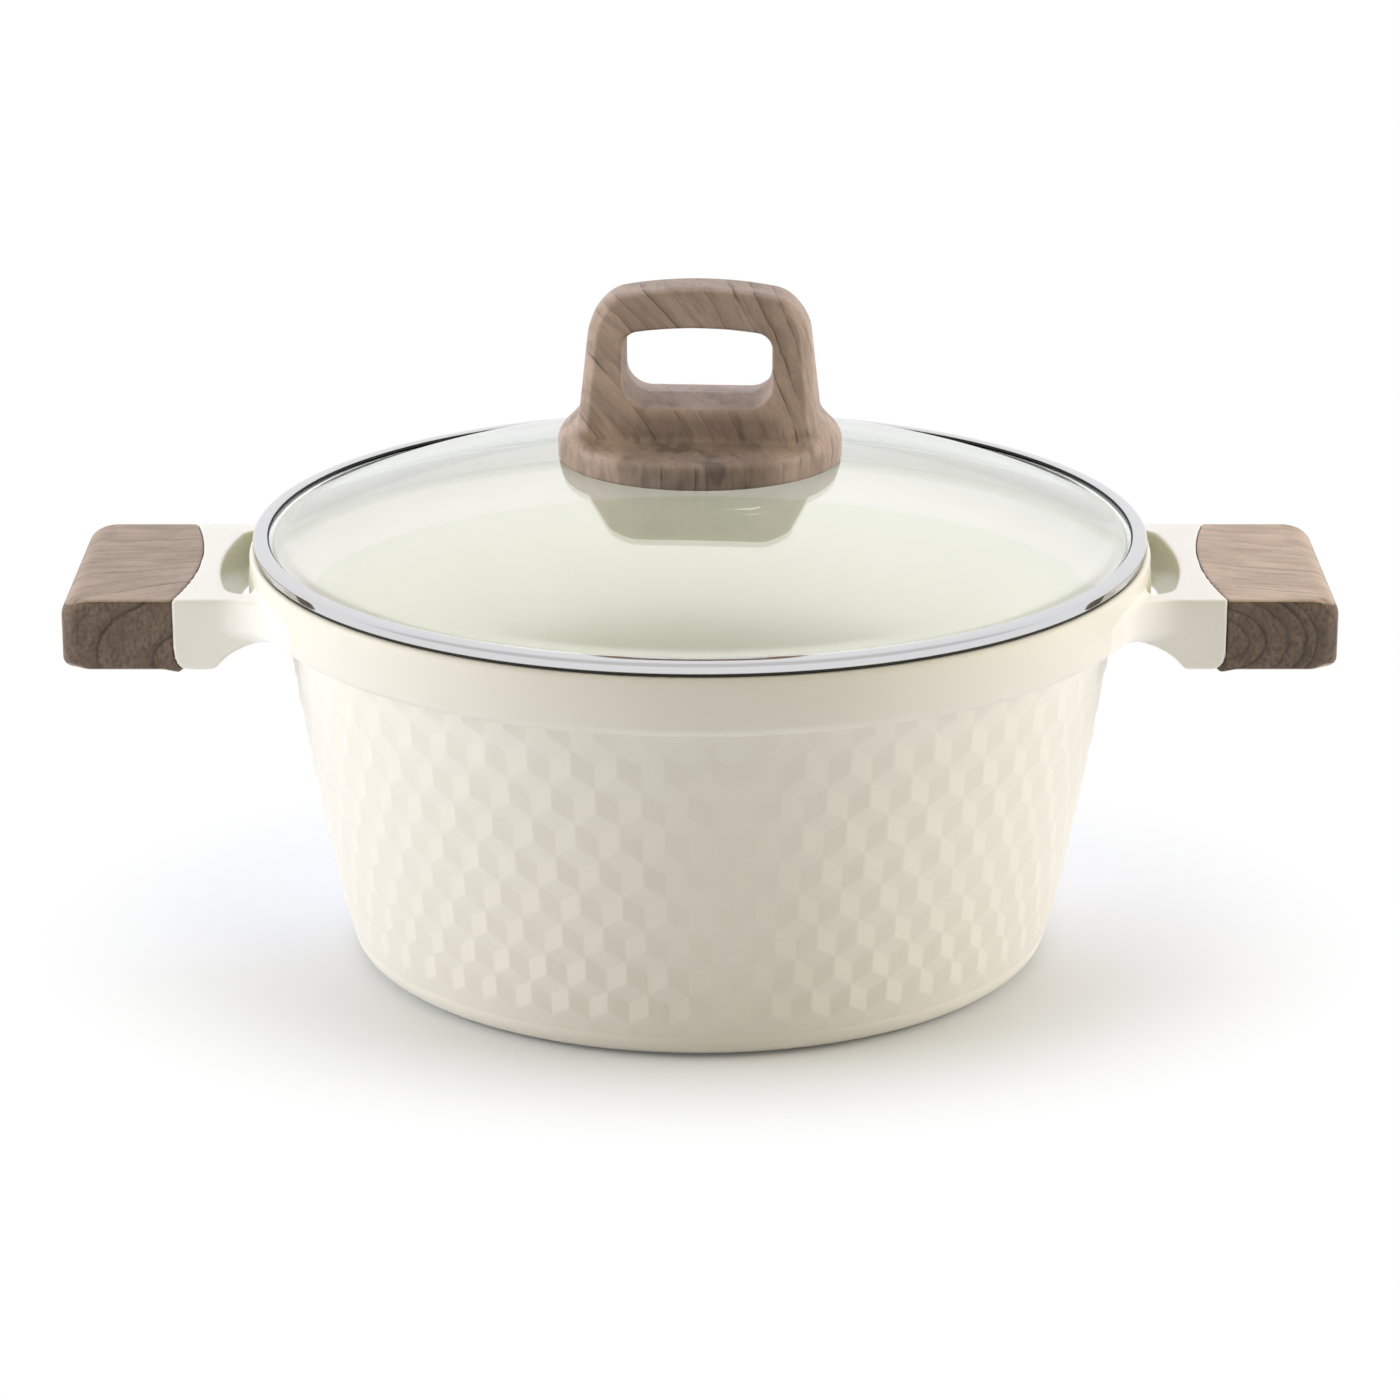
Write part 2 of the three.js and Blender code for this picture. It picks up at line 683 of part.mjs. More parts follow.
function knobScrew() {
  const headBottom = screwHeadTop - knobScrewHeadHeight;
  const dome = knobScrewHeadHeight / 3;
  const tip = insertBottom + insertLength - 1;
  return revolve([
    [0, headBottom],
    [knobScrewHead - 2 * dome, headBottom],
    [knobScrewHead - dome / 2, headBottom + dome / 2],
    [knobScrewHead, headBottom + 2 * dome],
    [knobScrewHead, screwHeadTop],
    [knobScrewRadius, screwHeadTop],
    [knobScrewRadius, tip],
    [0, tip],
  ], smallFacets);
}

// ---- Materials ----
const finish = (color, roughness, metalness, extra = {}) =>
  new THREE.MeshStandardMaterial({ color, roughness, metalness, ...extra });

const cream = () => finish(0xece8da, 0.42, 0);
const woodEffect = () => finish(0x8d7769, 0.5, 0);
const steelBright = () => finish(0xd4d5d8, 0.12, 1);
const brass = () => finish(0xb9975a, 0.35, 1);
const silicone = () => finish(0xcfcfc8, 0.7, 0);
const glass = () => finish(0xe9efe6, 0.03, 0, { transparent: true, opacity: 0.3 });

// ---- Assembly ----
const saucepan = new THREE.Group();

function place(name, item, material) {
  const mesh = item.getMesh();
  const geometry = new THREE.BufferGeometry();
  geometry.setAttribute('position', new THREE.Float32BufferAttribute(mesh.vertProperties, 3));
  geometry.setIndex([...mesh.triVerts]);
  geometry.computeVertexNormals();
  const object = new THREE.Mesh(geometry, material);
  object.name = name;
  saucepan.add(object);
}

place('pot_body', potBody(), cream());
place('induction_plate', basePlate(), steelBright());
for (const [side, put] of [['left', turned], ['right', (item) => item]]) {
  place(`${side}_grip`, put(grip()), woodEffect());
  place(`${side}_grip_screw`, put(gripScrew()), steelBright());
}
place('lid_glass', lidGlass(), glass());
place('lid_rim', lidRim(), steelBright());
place('lid_knob', lidKnob(), woodEffect());
place('knob_gasket', knobGasket(), silicone());
place('knob_insert', knobInsert(), brass());
place('glass_bush', glassBush(), silicone());
place('knob_washer', knobWasher(), steelBright());
place('knob_screw', knobScrew(), steelBright());

export default saucepan;
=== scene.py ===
"""Saucepan with glass lid: its looks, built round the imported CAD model.

Every size below is in millimetres, +Z up, the handles along X and the camera in front, at -Y.
The functions that make meshes turn millimetres into Blender's metres.
"""
import math

import bmesh
import bpy
import numpy as np
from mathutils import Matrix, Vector


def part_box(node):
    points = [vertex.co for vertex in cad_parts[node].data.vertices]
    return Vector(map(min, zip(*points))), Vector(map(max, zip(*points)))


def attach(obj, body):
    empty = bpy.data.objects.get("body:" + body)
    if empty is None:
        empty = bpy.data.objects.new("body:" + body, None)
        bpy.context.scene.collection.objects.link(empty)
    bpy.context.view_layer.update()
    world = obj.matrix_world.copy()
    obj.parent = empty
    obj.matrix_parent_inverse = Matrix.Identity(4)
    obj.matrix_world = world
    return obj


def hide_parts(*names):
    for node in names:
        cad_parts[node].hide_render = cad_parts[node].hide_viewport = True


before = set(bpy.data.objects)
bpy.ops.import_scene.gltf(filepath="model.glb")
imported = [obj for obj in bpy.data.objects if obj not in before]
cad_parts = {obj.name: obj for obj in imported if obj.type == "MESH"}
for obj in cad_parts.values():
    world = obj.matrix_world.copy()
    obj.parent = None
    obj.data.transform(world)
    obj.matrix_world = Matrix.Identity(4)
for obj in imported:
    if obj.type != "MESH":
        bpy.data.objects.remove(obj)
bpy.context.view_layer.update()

MM = 0.001


# ---- Sizes: from the frame, and the driving sizes that the outlines share ----

def corners(node):
    """Lowest and highest corner of a CAD node, in millimetres."""
    low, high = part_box(node)
    return np.array(low) / MM, np.array(high) / MM


pot_low, pot_high = corners("pot_body")
plate_high = corners("induction_plate")[1]
glass_low, glass_high = corners("lid_glass")
rim_low, rim_high = corners("lid_rim")
knob_high = corners("lid_knob")[1]
grip_low, grip_high = corners("right_grip")

# Pot: a wall that bows outwards from its foot to the plain band under the mouth.
POT_TOP = pot_high[2]
BAND_RADIUS = pot_high[1]
UNDERSIDE = pot_low[2]
BAND_BOTTOM = POT_TOP - 18
BAND_SWEEP = 4.5
WALL_TOP_RADIUS = 117.8
WALL_FOOT_RADIUS = 101.6
WALL_BOW = 0.9
WALL = 4.6
FOOT_RADIUS = 93
FOOT_HEIGHT = 8.2
FLOOR = UNDERSIDE + 6
CAVITY_CORNER = 14
MOUTH_RADIUS = 121
MOUTH_DEPTH = 9.5
PLATE_RADIUS = plate_high[1]
PLATE_TOP = plate_high[2]
RECESS = 2
GAP = 0.3

# Pattern on the wall: cells round the pot, depth from crest to pit, and the core's depth behind the pits.
CELLS = 58
RELIEF = 1.3
RELIEF_START = 7.9
CORE_INSET = 0.3

# Handles: a bracket cast with the pot and a grip outside it, split along an arc about SPLIT_X + SPLIT_RADIUS.
HANDLE_TOP = grip_high[2]
HANDLE_BOTTOM = HANDLE_TOP - 20.3
HANDLE_HALF = grip_high[1]
HANDLE_END = grip_high[0]
HANDLE_EDGE = 1.2
SPLIT_X = 141.3
SPLIT_RADIUS = 156
SEAM = 0.08
LIP_REACH = 2.1
LIP_DROP = HANDLE_BOTTOM - grip_low[2]
ARCH_CROWN = 99.8
ARCH_END = 134.6
ARCH_SLOPE = (0.743, 0.669)
SLOT_CENTRE = 26.1
SLOT_RADIUS = 109
SLOT_HALF = 31.6
SLOT_CORNER = 5
BRACKET_FLARE = 12
BRACKET_REACH = 60.5
SCREW_REACH = 156
SCREW_HEAD = 4
SCREW_SEAT = HANDLE_BOTTOM + 2.1
SHANK_BORE = 2.3

# Steel rim of the lid, with its skirt in the mouth of the pot.
RIM_RADIUS = rim_high[1]
RIM_TOP = rim_high[2]
RIM_BOTTOM = POT_TOP + 0.2
SKIRT_BOTTOM = rim_low[2]
SKIRT_RADIUS = 120.3
STEEL = 0.5

# Glass: a part of a sphere, with a flat edge that lies in the rim.
GLASS_RADIUS = glass_high[1]
GLASS_THICKNESS = 3
GLASS_EDGE_LOW = glass_low[2]
GLASS_EDGE_TOP = GLASS_EDGE_LOW + 2.6
DOME_RADIUS = 119.3
DOME_RISE = 23.9
DOME_CURVE = (DOME_RADIUS**2 + DOME_RISE**2) / (2 * DOME_RISE)
APEX = GLASS_EDGE_TOP + DOME_RISE
DOME_CENTRE = APEX - DOME_CURVE
GLASS_HOLE = 5

# Knob: an oval flange with a flat loop on it, half sizes. The loop tapers and its opening has an arched top.
KNOB_TURN = math.radians(-3.4)
KNOB_TOP = knob_high[2]
FLANGE = (39.8, 39.0)
FLANGE_TOP = 150
LOOP_HALF = 33.4
LOOP_DEPTH = 14.5
LOOP_CROWN = 112
OPENING_HALF = 21.2
OPENING_SILL = 159.6
OPENING_TOP = KNOB_TOP - 10.6
KNOB_BORE = 4.3
KNOB_BORE_TOP = 156.4
GASKET = 14
GASKET_TOP = corners("knob_gasket")[1][2]

# Edge of the cells in which a field is turned into a mesh.
NET_STEP = 0.6


def wall_radius(z):
    """Radius of the wall's crests at a height."""
    t = np.clip((z - FOOT_HEIGHT) / (BAND_BOTTOM - FOOT_HEIGHT), 0, 1.2)
    flare = WALL_TOP_RADIUS - WALL_FOOT_RADIUS
    return WALL_FOOT_RADIUS + flare * t + WALL_BOW * 4 * t * (1 - t)


def dome_height(r, offset=0.0):
    """Height of the glass's outer face, or of a face parallel to it."""
    return DOME_CENTRE + np.sqrt((DOME_CURVE + offset) ** 2 - r * r)


# ---- Node materials ----

class Nodes:
    """A short way to write a node tree: n("Type", settings, Input_Name=value or socket) gives the node.

    i0, i1, ... name an input by its number.
    """

    def __init__(self, tree):
        self.tree = tree

    def __call__(self, kind, settings=None, **inputs):
        node = self.tree.nodes.new("ShaderNode" + kind)
        for key, value in (settings or {}).items():
            setattr(node, key, value)
        for key, value in inputs.items():
            self.set(node, int(key[1:]) if key[0] == "i" else key.replace("_", " "), value)
        return node

    def set(self, node, key, value):
        """Links a socket or a node to an input, or sets the input's own value."""
        socket = node.inputs[key]
        if isinstance(value, bpy.types.NodeSocket):
            self.tree.links.new(value, socket)
        elif isinstance(value, bpy.types.Node):
            self.tree.links.new(value.outputs[0], socket)
        else:
            socket.default_value = value

    def math(self, operation, a, b=0.0):
        return self("Math", {"operation": operation}, i0=a, i1=b).outputs[0]

    def add(self, a, b):
        return self.math("ADD", a, b)

    def minus(self, a, b):
        return self.math("SUBTRACT", a, b)

    def times(self, a, b):
        return self.math("MULTIPLY", a, b)

    def length(self, a, b):
        return self.math("SQRT", self.add(self.times(a, a), self.times(b, b)))

    def mix(self, factor, a, b, blend="MIX"):
        node = self("Mix", {"data_type": "RGBA", "blend_type": blend})
        for index, value in ((0, factor), (6, a), (7, b)):
            self.set(node, index, value)
        return node.outputs[2]

    def between(self, value, low, high, to_low=0.0, to_high=1.0, smooth=True):
        """Takes low..high to to_low..to_high, and stops at both ends."""
        settings = {"interpolation_type": "SMOOTHSTEP" if smooth else "LINEAR"}
        return self("MapRange", settings, i0=value, i1=low, i2=high, i3=to_low, i4=to_high).outputs[0]

    def noise(self, vector, scale, detail, roughness=0.5):
        return self("TexNoise", Vector=vector, Scale=scale, Detail=detail, Roughness=roughness).outputs[0]

    def facing(self):
        """The surface normal's x, y and z."""
        return self("SeparateXYZ", Vector=self("NewGeometry").outputs["Normal"]).outputs


def material(name, build):
    """A material whose surface is what build makes in its node tree."""
    made = bpy.data.materials.new(name)
    made.use_nodes = True
    made.node_tree.nodes.clear()
    n = Nodes(made.node_tree)
    n.set(n("OutputMaterial"), "Surface", build(n))
    return made


def colour(hex_code):
    """A hex colour as linear RGBA."""
    channels = [int(hex_code[i:i + 2], 16) / 255 for i in (0, 2, 4)]
    linear = [c / 12.92 if c <= 0.04045 else ((c + 0.055) / 1.055) ** 2.4 for c in channels]  # sRGB
    return (*linear, 1.0)


def in_mm(n):
    """Object coordinates in millimetres: the vector, and its x, y and z."""
    position = n("TexCoord").outputs["Object"]
    scaled = n("VectorMath", {"operation": "SCALE"}, i0=position, Scale=1 / MM)
    split = n("SeparateXYZ", Vector=scaled.outputs[0])
    return scaled.outputs[0], split.outputs[0], split.outputs[1], split.outputs[2]


def surface(n, texture, rough, **inputs):
    """Principled shader whose roughness goes with a texture, between the two values of rough."""
    return n("BsdfPrincipled", Roughness=n.between(texture, 0.3, 0.7, *rough), **inputs)


def bumped(n, shader, strength, depth, height):
    """Adds a bump as deep as depth, in millimetres."""
    n.set(shader, "Normal", n("Bump", Strength=strength, Distance=depth * MM, Height=height))
    return shader.outputs[0]


def coated(n, tint, rough, depth=0.035, coat=0.12):
    """Sprayed ceramic coating: a faint unevenness in tone, gloss and height."""
    position = in_mm(n)[0]
    broad = n.noise(position, 0.03, 3)
    fine = n.noise(position, 1.6, 2)
    speck = n.noise(position, 7.0, 2)
    darker = tuple(c * 0.985 for c in tint[:3]) + (1,)
    tone = n.mix(n.between(broad, 0.35, 0.65), tint, darker)
    shader = surface(n, fine, (rough - 0.03, rough + 0.04), Base_Color=tone, Coat_Weight=coat,
                     Coat_Roughness=0.2)
    return bumped(n, shader, 0.35, depth, n.add(fine, n.times(speck, 0.25)))


CREAM = colour("f4f0e9")
OLIVE = colour("dad9c6")
# The lining is the slots' olive coating made lighter: its own colour, with painted light for the inside of
# the pot.
LINING_WITH_PAINTED_LIGHT = colour("e8e7d7")
# The brackets' cream is lighter than the pot's, though both are one casting with one coating: painted light.
PAINTED_LIGHT_BRACKET_CREAM = colour("fdfaf7")
CREAM_ROUGH = 0.36


def cream_coating(n):
    return coated(n, CREAM, CREAM_ROUGH)


def olive_coating(n):
    """The pot's lining: duller than the outside. Its olive is the coating's own colour, made lighter than the
    same coating in the slots as painted light.
    """
    return coated(n, LINING_WITH_PAINTED_LIGHT, 0.55, depth=0.02, coat=0.0)


def bracket_coating(n):
    """Cream, lighter than the pot's as painted light, and olive inside the slot, where the inner coating
    shows.
    """
    away = n("Attribute", {"attribute_name": "slot_distance"}).outputs["Fac"]
    cream = coated(n, PAINTED_LIGHT_BRACKET_CREAM, CREAM_ROUGH)
    olive = coated(n, OLIVE, 0.3)
    return n("MixShader", i0=n.between(away, 0.3, 0.45), i1=olive, i2=cream).outputs[0]


def polished_steel(n):
    fine = n.noise(in_mm(n)[0], 0.9, 4)
    shader = surface(n, fine, (0.04, 0.09), Base_Color=colour("d8d8da"), Metallic=1.0)
    return bumped(n, shader, 0.1, 0.01, fine)


def brushed_steel(n):
    """Turned steel: fine rings round the axis."""
    _, x, y, _ = in_mm(n)
    rings = n("TexNoise", {"noise_dimensions": "1D"}, W=n.length(x, y), Scale=3.5, Detail=4.0).outputs[0]
    tone = n.mix(rings, colour("9c9c9e"), colour("c2c2c4"))
    shader = surface(n, rings, (0.26, 0.4), Base_Color=tone, Metallic=1.0)
    return bumped(n, shader, 0.25, 0.02, rings)


def turned_brass(n):
    fine = n.noise(in_mm(n)[0], 2.0, 3)
    return surface(n, fine, (0.25, 0.38), Base_Color=colour("c8a566"), Metallic=1.0).outputs[0]


def soft_silicone(n):
    fine = n.noise(in_mm(n)[0], 1.2, 3)
    shader = surface(n, fine, (0.5, 0.62), Base_Color=colour("e4e4dc"), Subsurface_Weight=0.2,
                     Subsurface_Radius=(0.002, 0.002, 0.0018))
    return shader.outputs[0]


def black_seal(n):
    """Painted shadow: dark rubber above and below the edge of the glass, in the rim, that stands for the
    shadow lines there.
    """
    fine = n.noise(in_mm(n)[0], 1.2, 3)
    tone = n.mix(fine, colour("1b1b1c"), colour("2c2c2d"))
    return surface(n, fine, (0.5, 0.65), Base_Color=tone).outputs[0]


def clear_glass(n):
    """Clear glass that casts only a faint shadow."""
    glass = n("BsdfGlass", Color=(0.99, 0.996, 0.99, 1), Roughness=0.0, IOR=1.5)
    clear = n("BsdfTransparent", Color=(0.96, 0.97, 0.96, 1))
    shadow = n("LightPath").outputs["Is Shadow Ray"]
    return n("MixShader", i0=shadow, i1=glass.outputs[0], i2=clear.outputs[0]).outputs[0]


# Printed wood, along and across its fibres: dark fibres, middle and light ground, and the grain lines.
WOOD_TONES = ("7b6a61", "a89388", "baa59b", "40342e")
END_TONES = ("4c4037", "6b5c51", "7a6b60", "2e241e")
RAMP_LINES = 7  # with four stops each, within the 32 stops that a colour ramp holds


def grain(n, across, lines, fade=2.5):
    """Darkness of grain lines, each given by place, strength and half width, with a shade beside it."""
    total = 0.0
    for first in range(0, len(lines), RAMP_LINES):
        group = lines[first:first + RAMP_LINES]
        low, high = group[0][0] - 1, group[-1][0] + fade
        node = n("ValToRGB", Fac=n.between(across, low, high, smooth=False))
        ramp = node.color_ramp
        ramp.elements.remove(ramp.elements[1])
        ramp.elements[0].position = 0
        ramp.elements[0].color = (0, 0, 0, 1)
        for k, (place, strength, half) in enumerate(group):
            end = high
            if k + 1 < len(group):
                end = min(place + fade, group[k + 1][0] - group[k + 1][2] - 0.05)
            stops = (place - half, 0), (place, strength), (place + half, 0.35 * strength), (end, 0)
            for where, dark in stops:
                stop = ramp.elements.new((where - low) / (high - low))
                stop.color = (dark, dark, dark, 1)
        total = n.math("MAXIMUM", total, node.outputs["Color"])
    return total


def stretched(n, across, along, other, scales):
    """Noise coordinates with a scale of their own across, along and through the grain."""
    scaled = [n.times(value, scale) for value, scale in zip((across, along, other), scales)]
    return n("CombineXYZ", X=scaled[0], Y=scaled[1], Z=scaled[2])


def waver(n, coarse, coarse_swing, fine, fine_swing):
    """How far two noises push a grain line aside, in millimetres."""
    return n.add(n.times(n.minus(coarse, 0.5), coarse_swing), n.times(n.minus(fine, 0.5), fine_swing))


def shaded(tones, shade):
    """Hex colours as linear ones, times a tint."""
    return [tuple(c * s for c, s in zip(colour(tone), shade)) + (1,) for tone in tones]


def long_grain(n, across, along, other, lines, shade, clear=1.0):
    """Printed wood with its fibres along the surface. Gives colour and height."""
    wave = n.noise(stretched(n, across, along, other, (0.045, 0.03, 0.03)), 1.0, 2)
    jitter = n.noise(stretched(n, across, along, other, (0.12, 0.16, 0.16)), 1.0, 2)
    across = n.add(across, waver(n, wave, 4.0, jitter, 1.3))
    fibre = n.noise(stretched(n, across, along, other, (3.0, 0.35, 1.2)), 1.0, 4, 0.7)
    streak = n.noise(stretched(n, across, along, other, (0.5, 0.05, 0.2)), 1.0, 4, 0.6)
    patch = n.noise(stretched(n, across, along, other, (0.11, 0.06, 0.09)), 1.0, 3)
    worn = n.noise(stretched(n, across, along, other, (0.35, 0.1, 0.15)), 1.0, 3)
    dark, middle, light, mark = shaded(WOOD_TONES, shade)
    tone = n.mix(n.between(patch, 0.34, 0.66), middle, light)
    tone = n.mix(n.times(n.between(fibre, 0.36, 0.7), 0.3), tone, dark)
    tone = n.mix(n.times(n.between(streak, 0.48, 0.72), 0.42), tone, dark)
    marks = n.times(grain(n, across, lines), n.between(worn, 0.38, 0.62, 0.2, 1.0))
    return n.mix(n.times(marks, clear), tone, mark), fibre


def end_grain(n, ring, x, y, z, rings):
    """Printed wood cut across its fibres: growth rings in a mottled, darker ground."""
    wave = n.noise(stretched(n, x, y, z, (0.09, 0.09, 0.09)), 1.0, 2)
    rough_edge = n.noise(stretched(n, x, y, z, (0.8, 0.8, 0.8)), 1.0, 2)
    ring = n.add(ring, waver(n, wave, 3.0, rough_edge, 0.9))
    fleck = n.noise(stretched(n, x, y, z, (0.95, 0.95, 0.6)), 1.0, 3, 0.6)
    broad = n.noise(stretched(n, x, y, z, (0.14, 0.1, 0.14)), 1.0, 3)
    worn = n.noise(stretched(n, x, y, z, (0.2, 0.2, 0.2)), 1.0, 2)
    dark, middle, light, mark = shaded(END_TONES, (1.04, 0.97, 0.9))
    tone = n.mix(n.between(broad, 0.35, 0.65), middle, light)
    tone = n.mix(n.times(n.between(fleck, 0.42, 0.66), 0.75), tone, dark)
    marks = n.times(grain(n, ring, rings, 3.2), n.between(worn, 0.35, 0.6, 0.7, 1.0))
    return n.mix(marks, tone, mark)


# Grain lines: place across the grain in millimetres, strength and half width. Rings: radius first.
KNOB_LINES = (
    (-30, 0.7, 0.3), (-28.4, 0.5, 0.25), (-23.8, 0.35, 0.25), (-14, 1.0, 0.45), (-9, 0.25, 0.2),
    (-4.4, 0.8, 0.3), (-1.2, 0.6, 0.25), (2.3, 0.6, 0.25), (5.8, 0.25, 0.2), (9.5, 0.95, 0.3),
    (14.5, 0.3, 0.25), (20.5, 0.5, 0.25), (25.6, 0.9, 0.35), (29, 0.8, 0.28), (32.5, 0.7, 0.28),
    (35.2, 0.5, 0.25), (37, 0.45, 0.25))
LEFT_TOP_LINES = (
    (-28, 0.3, 0.3), (-20.2, 0.95, 0.4), (-13, 0.35, 0.3), (-6.6, 0.7, 0.4), (-3.5, 0.4, 0.3),
    (-0.5, 0.35, 0.3), (2.6, 0.6, 0.4), (5.5, 0.4, 0.3), (9.9, 0.5, 0.4), (13, 0.35, 0.3),
    (22, 0.6, 0.5), (29, 0.4, 0.35), (34, 0.3, 0.3))
RIGHT_TOP_LINES = (
    (-31, 0.4, 0.3), (-27.5, 0.45, 0.3), (-23.7, 0.6, 0.35), (-21, 0.45, 0.3), (-18.3, 0.55, 0.35),
    (-15.3, 0.6, 0.35), (-11, 0.4, 0.3), (-7, 0.65, 0.4), (-2.5, 0.45, 0.8), (4, 0.2, 0.3),
    (9, 0.25, 0.3), (15, 0.35, 0.35), (22, 0.45, 0.35), (26.5, 0.25, 0.3), (33, 0.2, 0.3))
LEFT_RINGS = ((10.6, 0.95, 0.8), (26, 1.0, 0.75), (33.5, 0.4, 0.6))
RIGHT_RINGS = ((10.7, 0.8, 0.6), (15.7, 0.9, 0.65), (21.9, 0.85, 0.6), (26.6, 1.0, 0.9),
               (29.7, 0.8, 0.6), (35, 0.6, 0.6))


def wood_shader(n, tone, height):
    return bumped(n, surface(n, height, (0.42, 0.56), Base_Color=tone), 0.3, 0.05, height)


def grip_wood(n):
    """Long grain on the flat faces and the end, and dark end grain with its rings on the flanks.

    out and lean tilt the grain, and middle and ratio are the height and flatness of the rings.
    """
    _, x, y, z = in_mm(n)
    side = n.math("ABSOLUTE", x)
    is_right = n.math("GREATER_THAN", x, 0.0)
    out = n.minus(side, 143.0)
    normal = n.facing()
    upward = n.between(n.math("ABSOLUTE", normal[2]), 0.56, 0.66)
    outward = n.between(n.times(normal[0], n.math("SIGN", x)), 0.9, 0.96)
    flat = n.math("MAXIMUM", upward, outward)
    steep = n.add(0.14, n.times(y, -0.003))
    steep = n.add(steep, n.times(n.between(y, -32, -6, 1.0, 0.0), 0.3))
    tones = []
    for lines, rings, lean, middle, ratio, shade in (
            (LEFT_TOP_LINES, LEFT_RINGS, steep, 94.5, 0.74, (0.95, 0.93, 0.86)),
            (RIGHT_TOP_LINES, RIGHT_RINGS, 0.28, 100, 0.6, (1.32, 1.31, 1.2))):
        across = n.add(y, n.times(out, lean))
        top, fibre = long_grain(n, across, side, z, lines, shade)
        ring_z = n.math("DIVIDE", n.minus(z, middle), ratio)
        ring = n.length(n.minus(side, 141.0), ring_z)
        tones.append(n.mix(flat, end_grain(n, ring, x, y, z, rings), top))
    return wood_shader(n, n.mix(is_right, tones[0], tones[1]), fibre)


def knob_wood(n):
    """Grain that falls steeply across the left of the loop and runs almost upright on its right.

    The opening's sill has no grain lines. The middle of the knob is a little darker below, towards the
    flange, and above, on the bar: painted shade.
    """
    _, x, y, z = in_mm(n)
    raised = n.math("MAXIMUM", n.minus(z, 152.0), 0.0)
    lean = n.minus(0.5, n.times(x, 0.0091))
    across = n.add(n.add(x, n.times(raised, lean)), n.times(y, 0.08))
    level = n.between(n.facing()[2], 0.5, 0.8)
    sill = n.times(level, n.between(z, 170, 168, 0.0, 0.85))
    clear = n.minus(1.0, sill)
    tone, fibre = long_grain(n, across, z, y, KNOB_LINES, (1.18, 1.16, 1.13), clear)
    # Painted shade: the middle of the knob darkens low down by the flange, in patches there, and a little on
    # the bar.
    middle = n.between(n.math("ABSOLUTE", x), 14, 27, 1.0, 0.0)
    patch = n.noise(stretched(n, across, z, y, (0.16, 0.07, 0.1)), 1.0, 2)
    patchy_painted_shade = n.between(patch, 0.48, 0.68, 0.0, 0.3)
    low = n.times(middle, n.between(z, 156, 160, 0.37, 0.0))
    low = n.add(low, n.times(patchy_painted_shade, n.between(z, 158, 164, 1.0, 0.0)))
    high = n.times(middle, n.between(z, 175, 180, 0.0, 0.2))
    painted_shade_factor = n.minus(1.0, n.add(low, high))
    shade = n("CombineXYZ", X=painted_shade_factor, Y=painted_shade_factor, Z=painted_shade_factor)
    return wood_shader(n, n.mix(1.0, tone, shade.outputs[0], "MULTIPLY"), fibre)


MATERIALS = {build.__name__: material(build.__name__, build) for build in (
    cream_coating, olive_coating, bracket_coating, polished_steel, brushed_steel, turned_brass,
    soft_silicone, black_seal, clear_glass, grip_wood, knob_wood)}


# ---- Meshes ----

def placed(name, data):
    """A new object in the scene."""
    made = bpy.data.objects.new(name, data)
    bpy.context.scene.collection.objects.link(made)
    return made


def mesh_object(name, points, faces, material_name, body, slot, *nodes, sharp=None, attribute=None,
                inside=None):
    """A mesh from points in millimetres that rides on a body and stands for CAD nodes.

    sharp is the angle, in degrees, from which an edge stays sharp. attribute is a name and a value for
    each point. inside names a second material, and a test that says which face centres have it.
    """
    mesh = bpy.data.meshes.new(name)
    mesh.from_pydata((np.asarray(points, float) * MM).tolist(), [], faces)
    if attribute:
        mesh.attributes.new(attribute[0], "FLOAT", "POINT").data.foreach_set("value", attribute[1])
    clean = bmesh.new()
    clean.from_mesh(mesh)
    bmesh.ops.remove_doubles(clean, verts=clean.verts, dist=1e-6)
    bmesh.ops.dissolve_degenerate(clean, dist=1e-7, edges=clean.edges)
    bmesh.ops.recalc_face_normals(clean, faces=clean.faces)
    clean.to_mesh(mesh)
    clean.free()
    mesh.shade_smooth()
    if sharp is not None:
        mesh.set_sharp_from_angle(angle=math.radians(sharp))
    made = placed(name, mesh)
    mesh.materials.append(MATERIALS[material_name])
    if inside:
        mesh.materials.append(MATERIALS[inside[0]])
        for face in mesh.polygons:
            face.material_index = int(inside[1](*(face.center / MM)))
    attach(made, body)
    if nodes:
        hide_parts(*nodes)
    return made


def arc(centre, radius, start, end, steps):
    """Points of an arc in a profile, angles in degrees."""
    turns = [math.radians(a) for a in np.linspace(start, end, steps + 1)]
    return [(centre[0] + radius * math.cos(t), centre[1] + radius * math.sin(t)) for t in turns]


def lathe(name, profile, segments, *details, centre=(0, 0), **options):
    """A closed profile of (radius, height) points turned about the Z axis."""
    profile = [p for i, p in enumerate(profile) if math.dist(p, profile[i - 1]) > 1e-6]
    turns = np.arange(segments) * 2 * math.pi / segments
    points = [(centre[0] + r * math.cos(t), centre[1] + r * math.sin(t), z)
              for r, z in profile for t in turns]
    faces = []
    for i in range(len(profile)):
        k = (i + 1) % len(profile)
        if profile[i][0] < 1e-6 and profile[k][0] < 1e-6:
            continue
        for j in range(segments):
            j2 = (j + 1) % segments
            faces.append((i * segments + j, i * segments + j2, k * segments + j2, k * segments + j))
    mesh_object(name, points, faces, *details, **options)


# ---- Fields: negative inside, in millimetres, joined and cut with round edges ----

def joined(a, b, radius):
    """Union with a hollow fillet."""
    fillet = np.hypot(np.maximum(radius - a, 0), np.maximum(radius - b, 0))
    return np.maximum(radius, np.minimum(a, b)) - fillet


def common(a, b, radius):
    """Intersection with a rounded edge."""
    edge = np.hypot(np.maximum(radius + a, 0), np.maximum(radius + b, 0))
    return np.minimum(-radius, np.maximum(a, b)) + edge


def cut(a, b, radius):
    """What of a lies outside b, with a rounded edge."""
    return common(a, -b, radius)


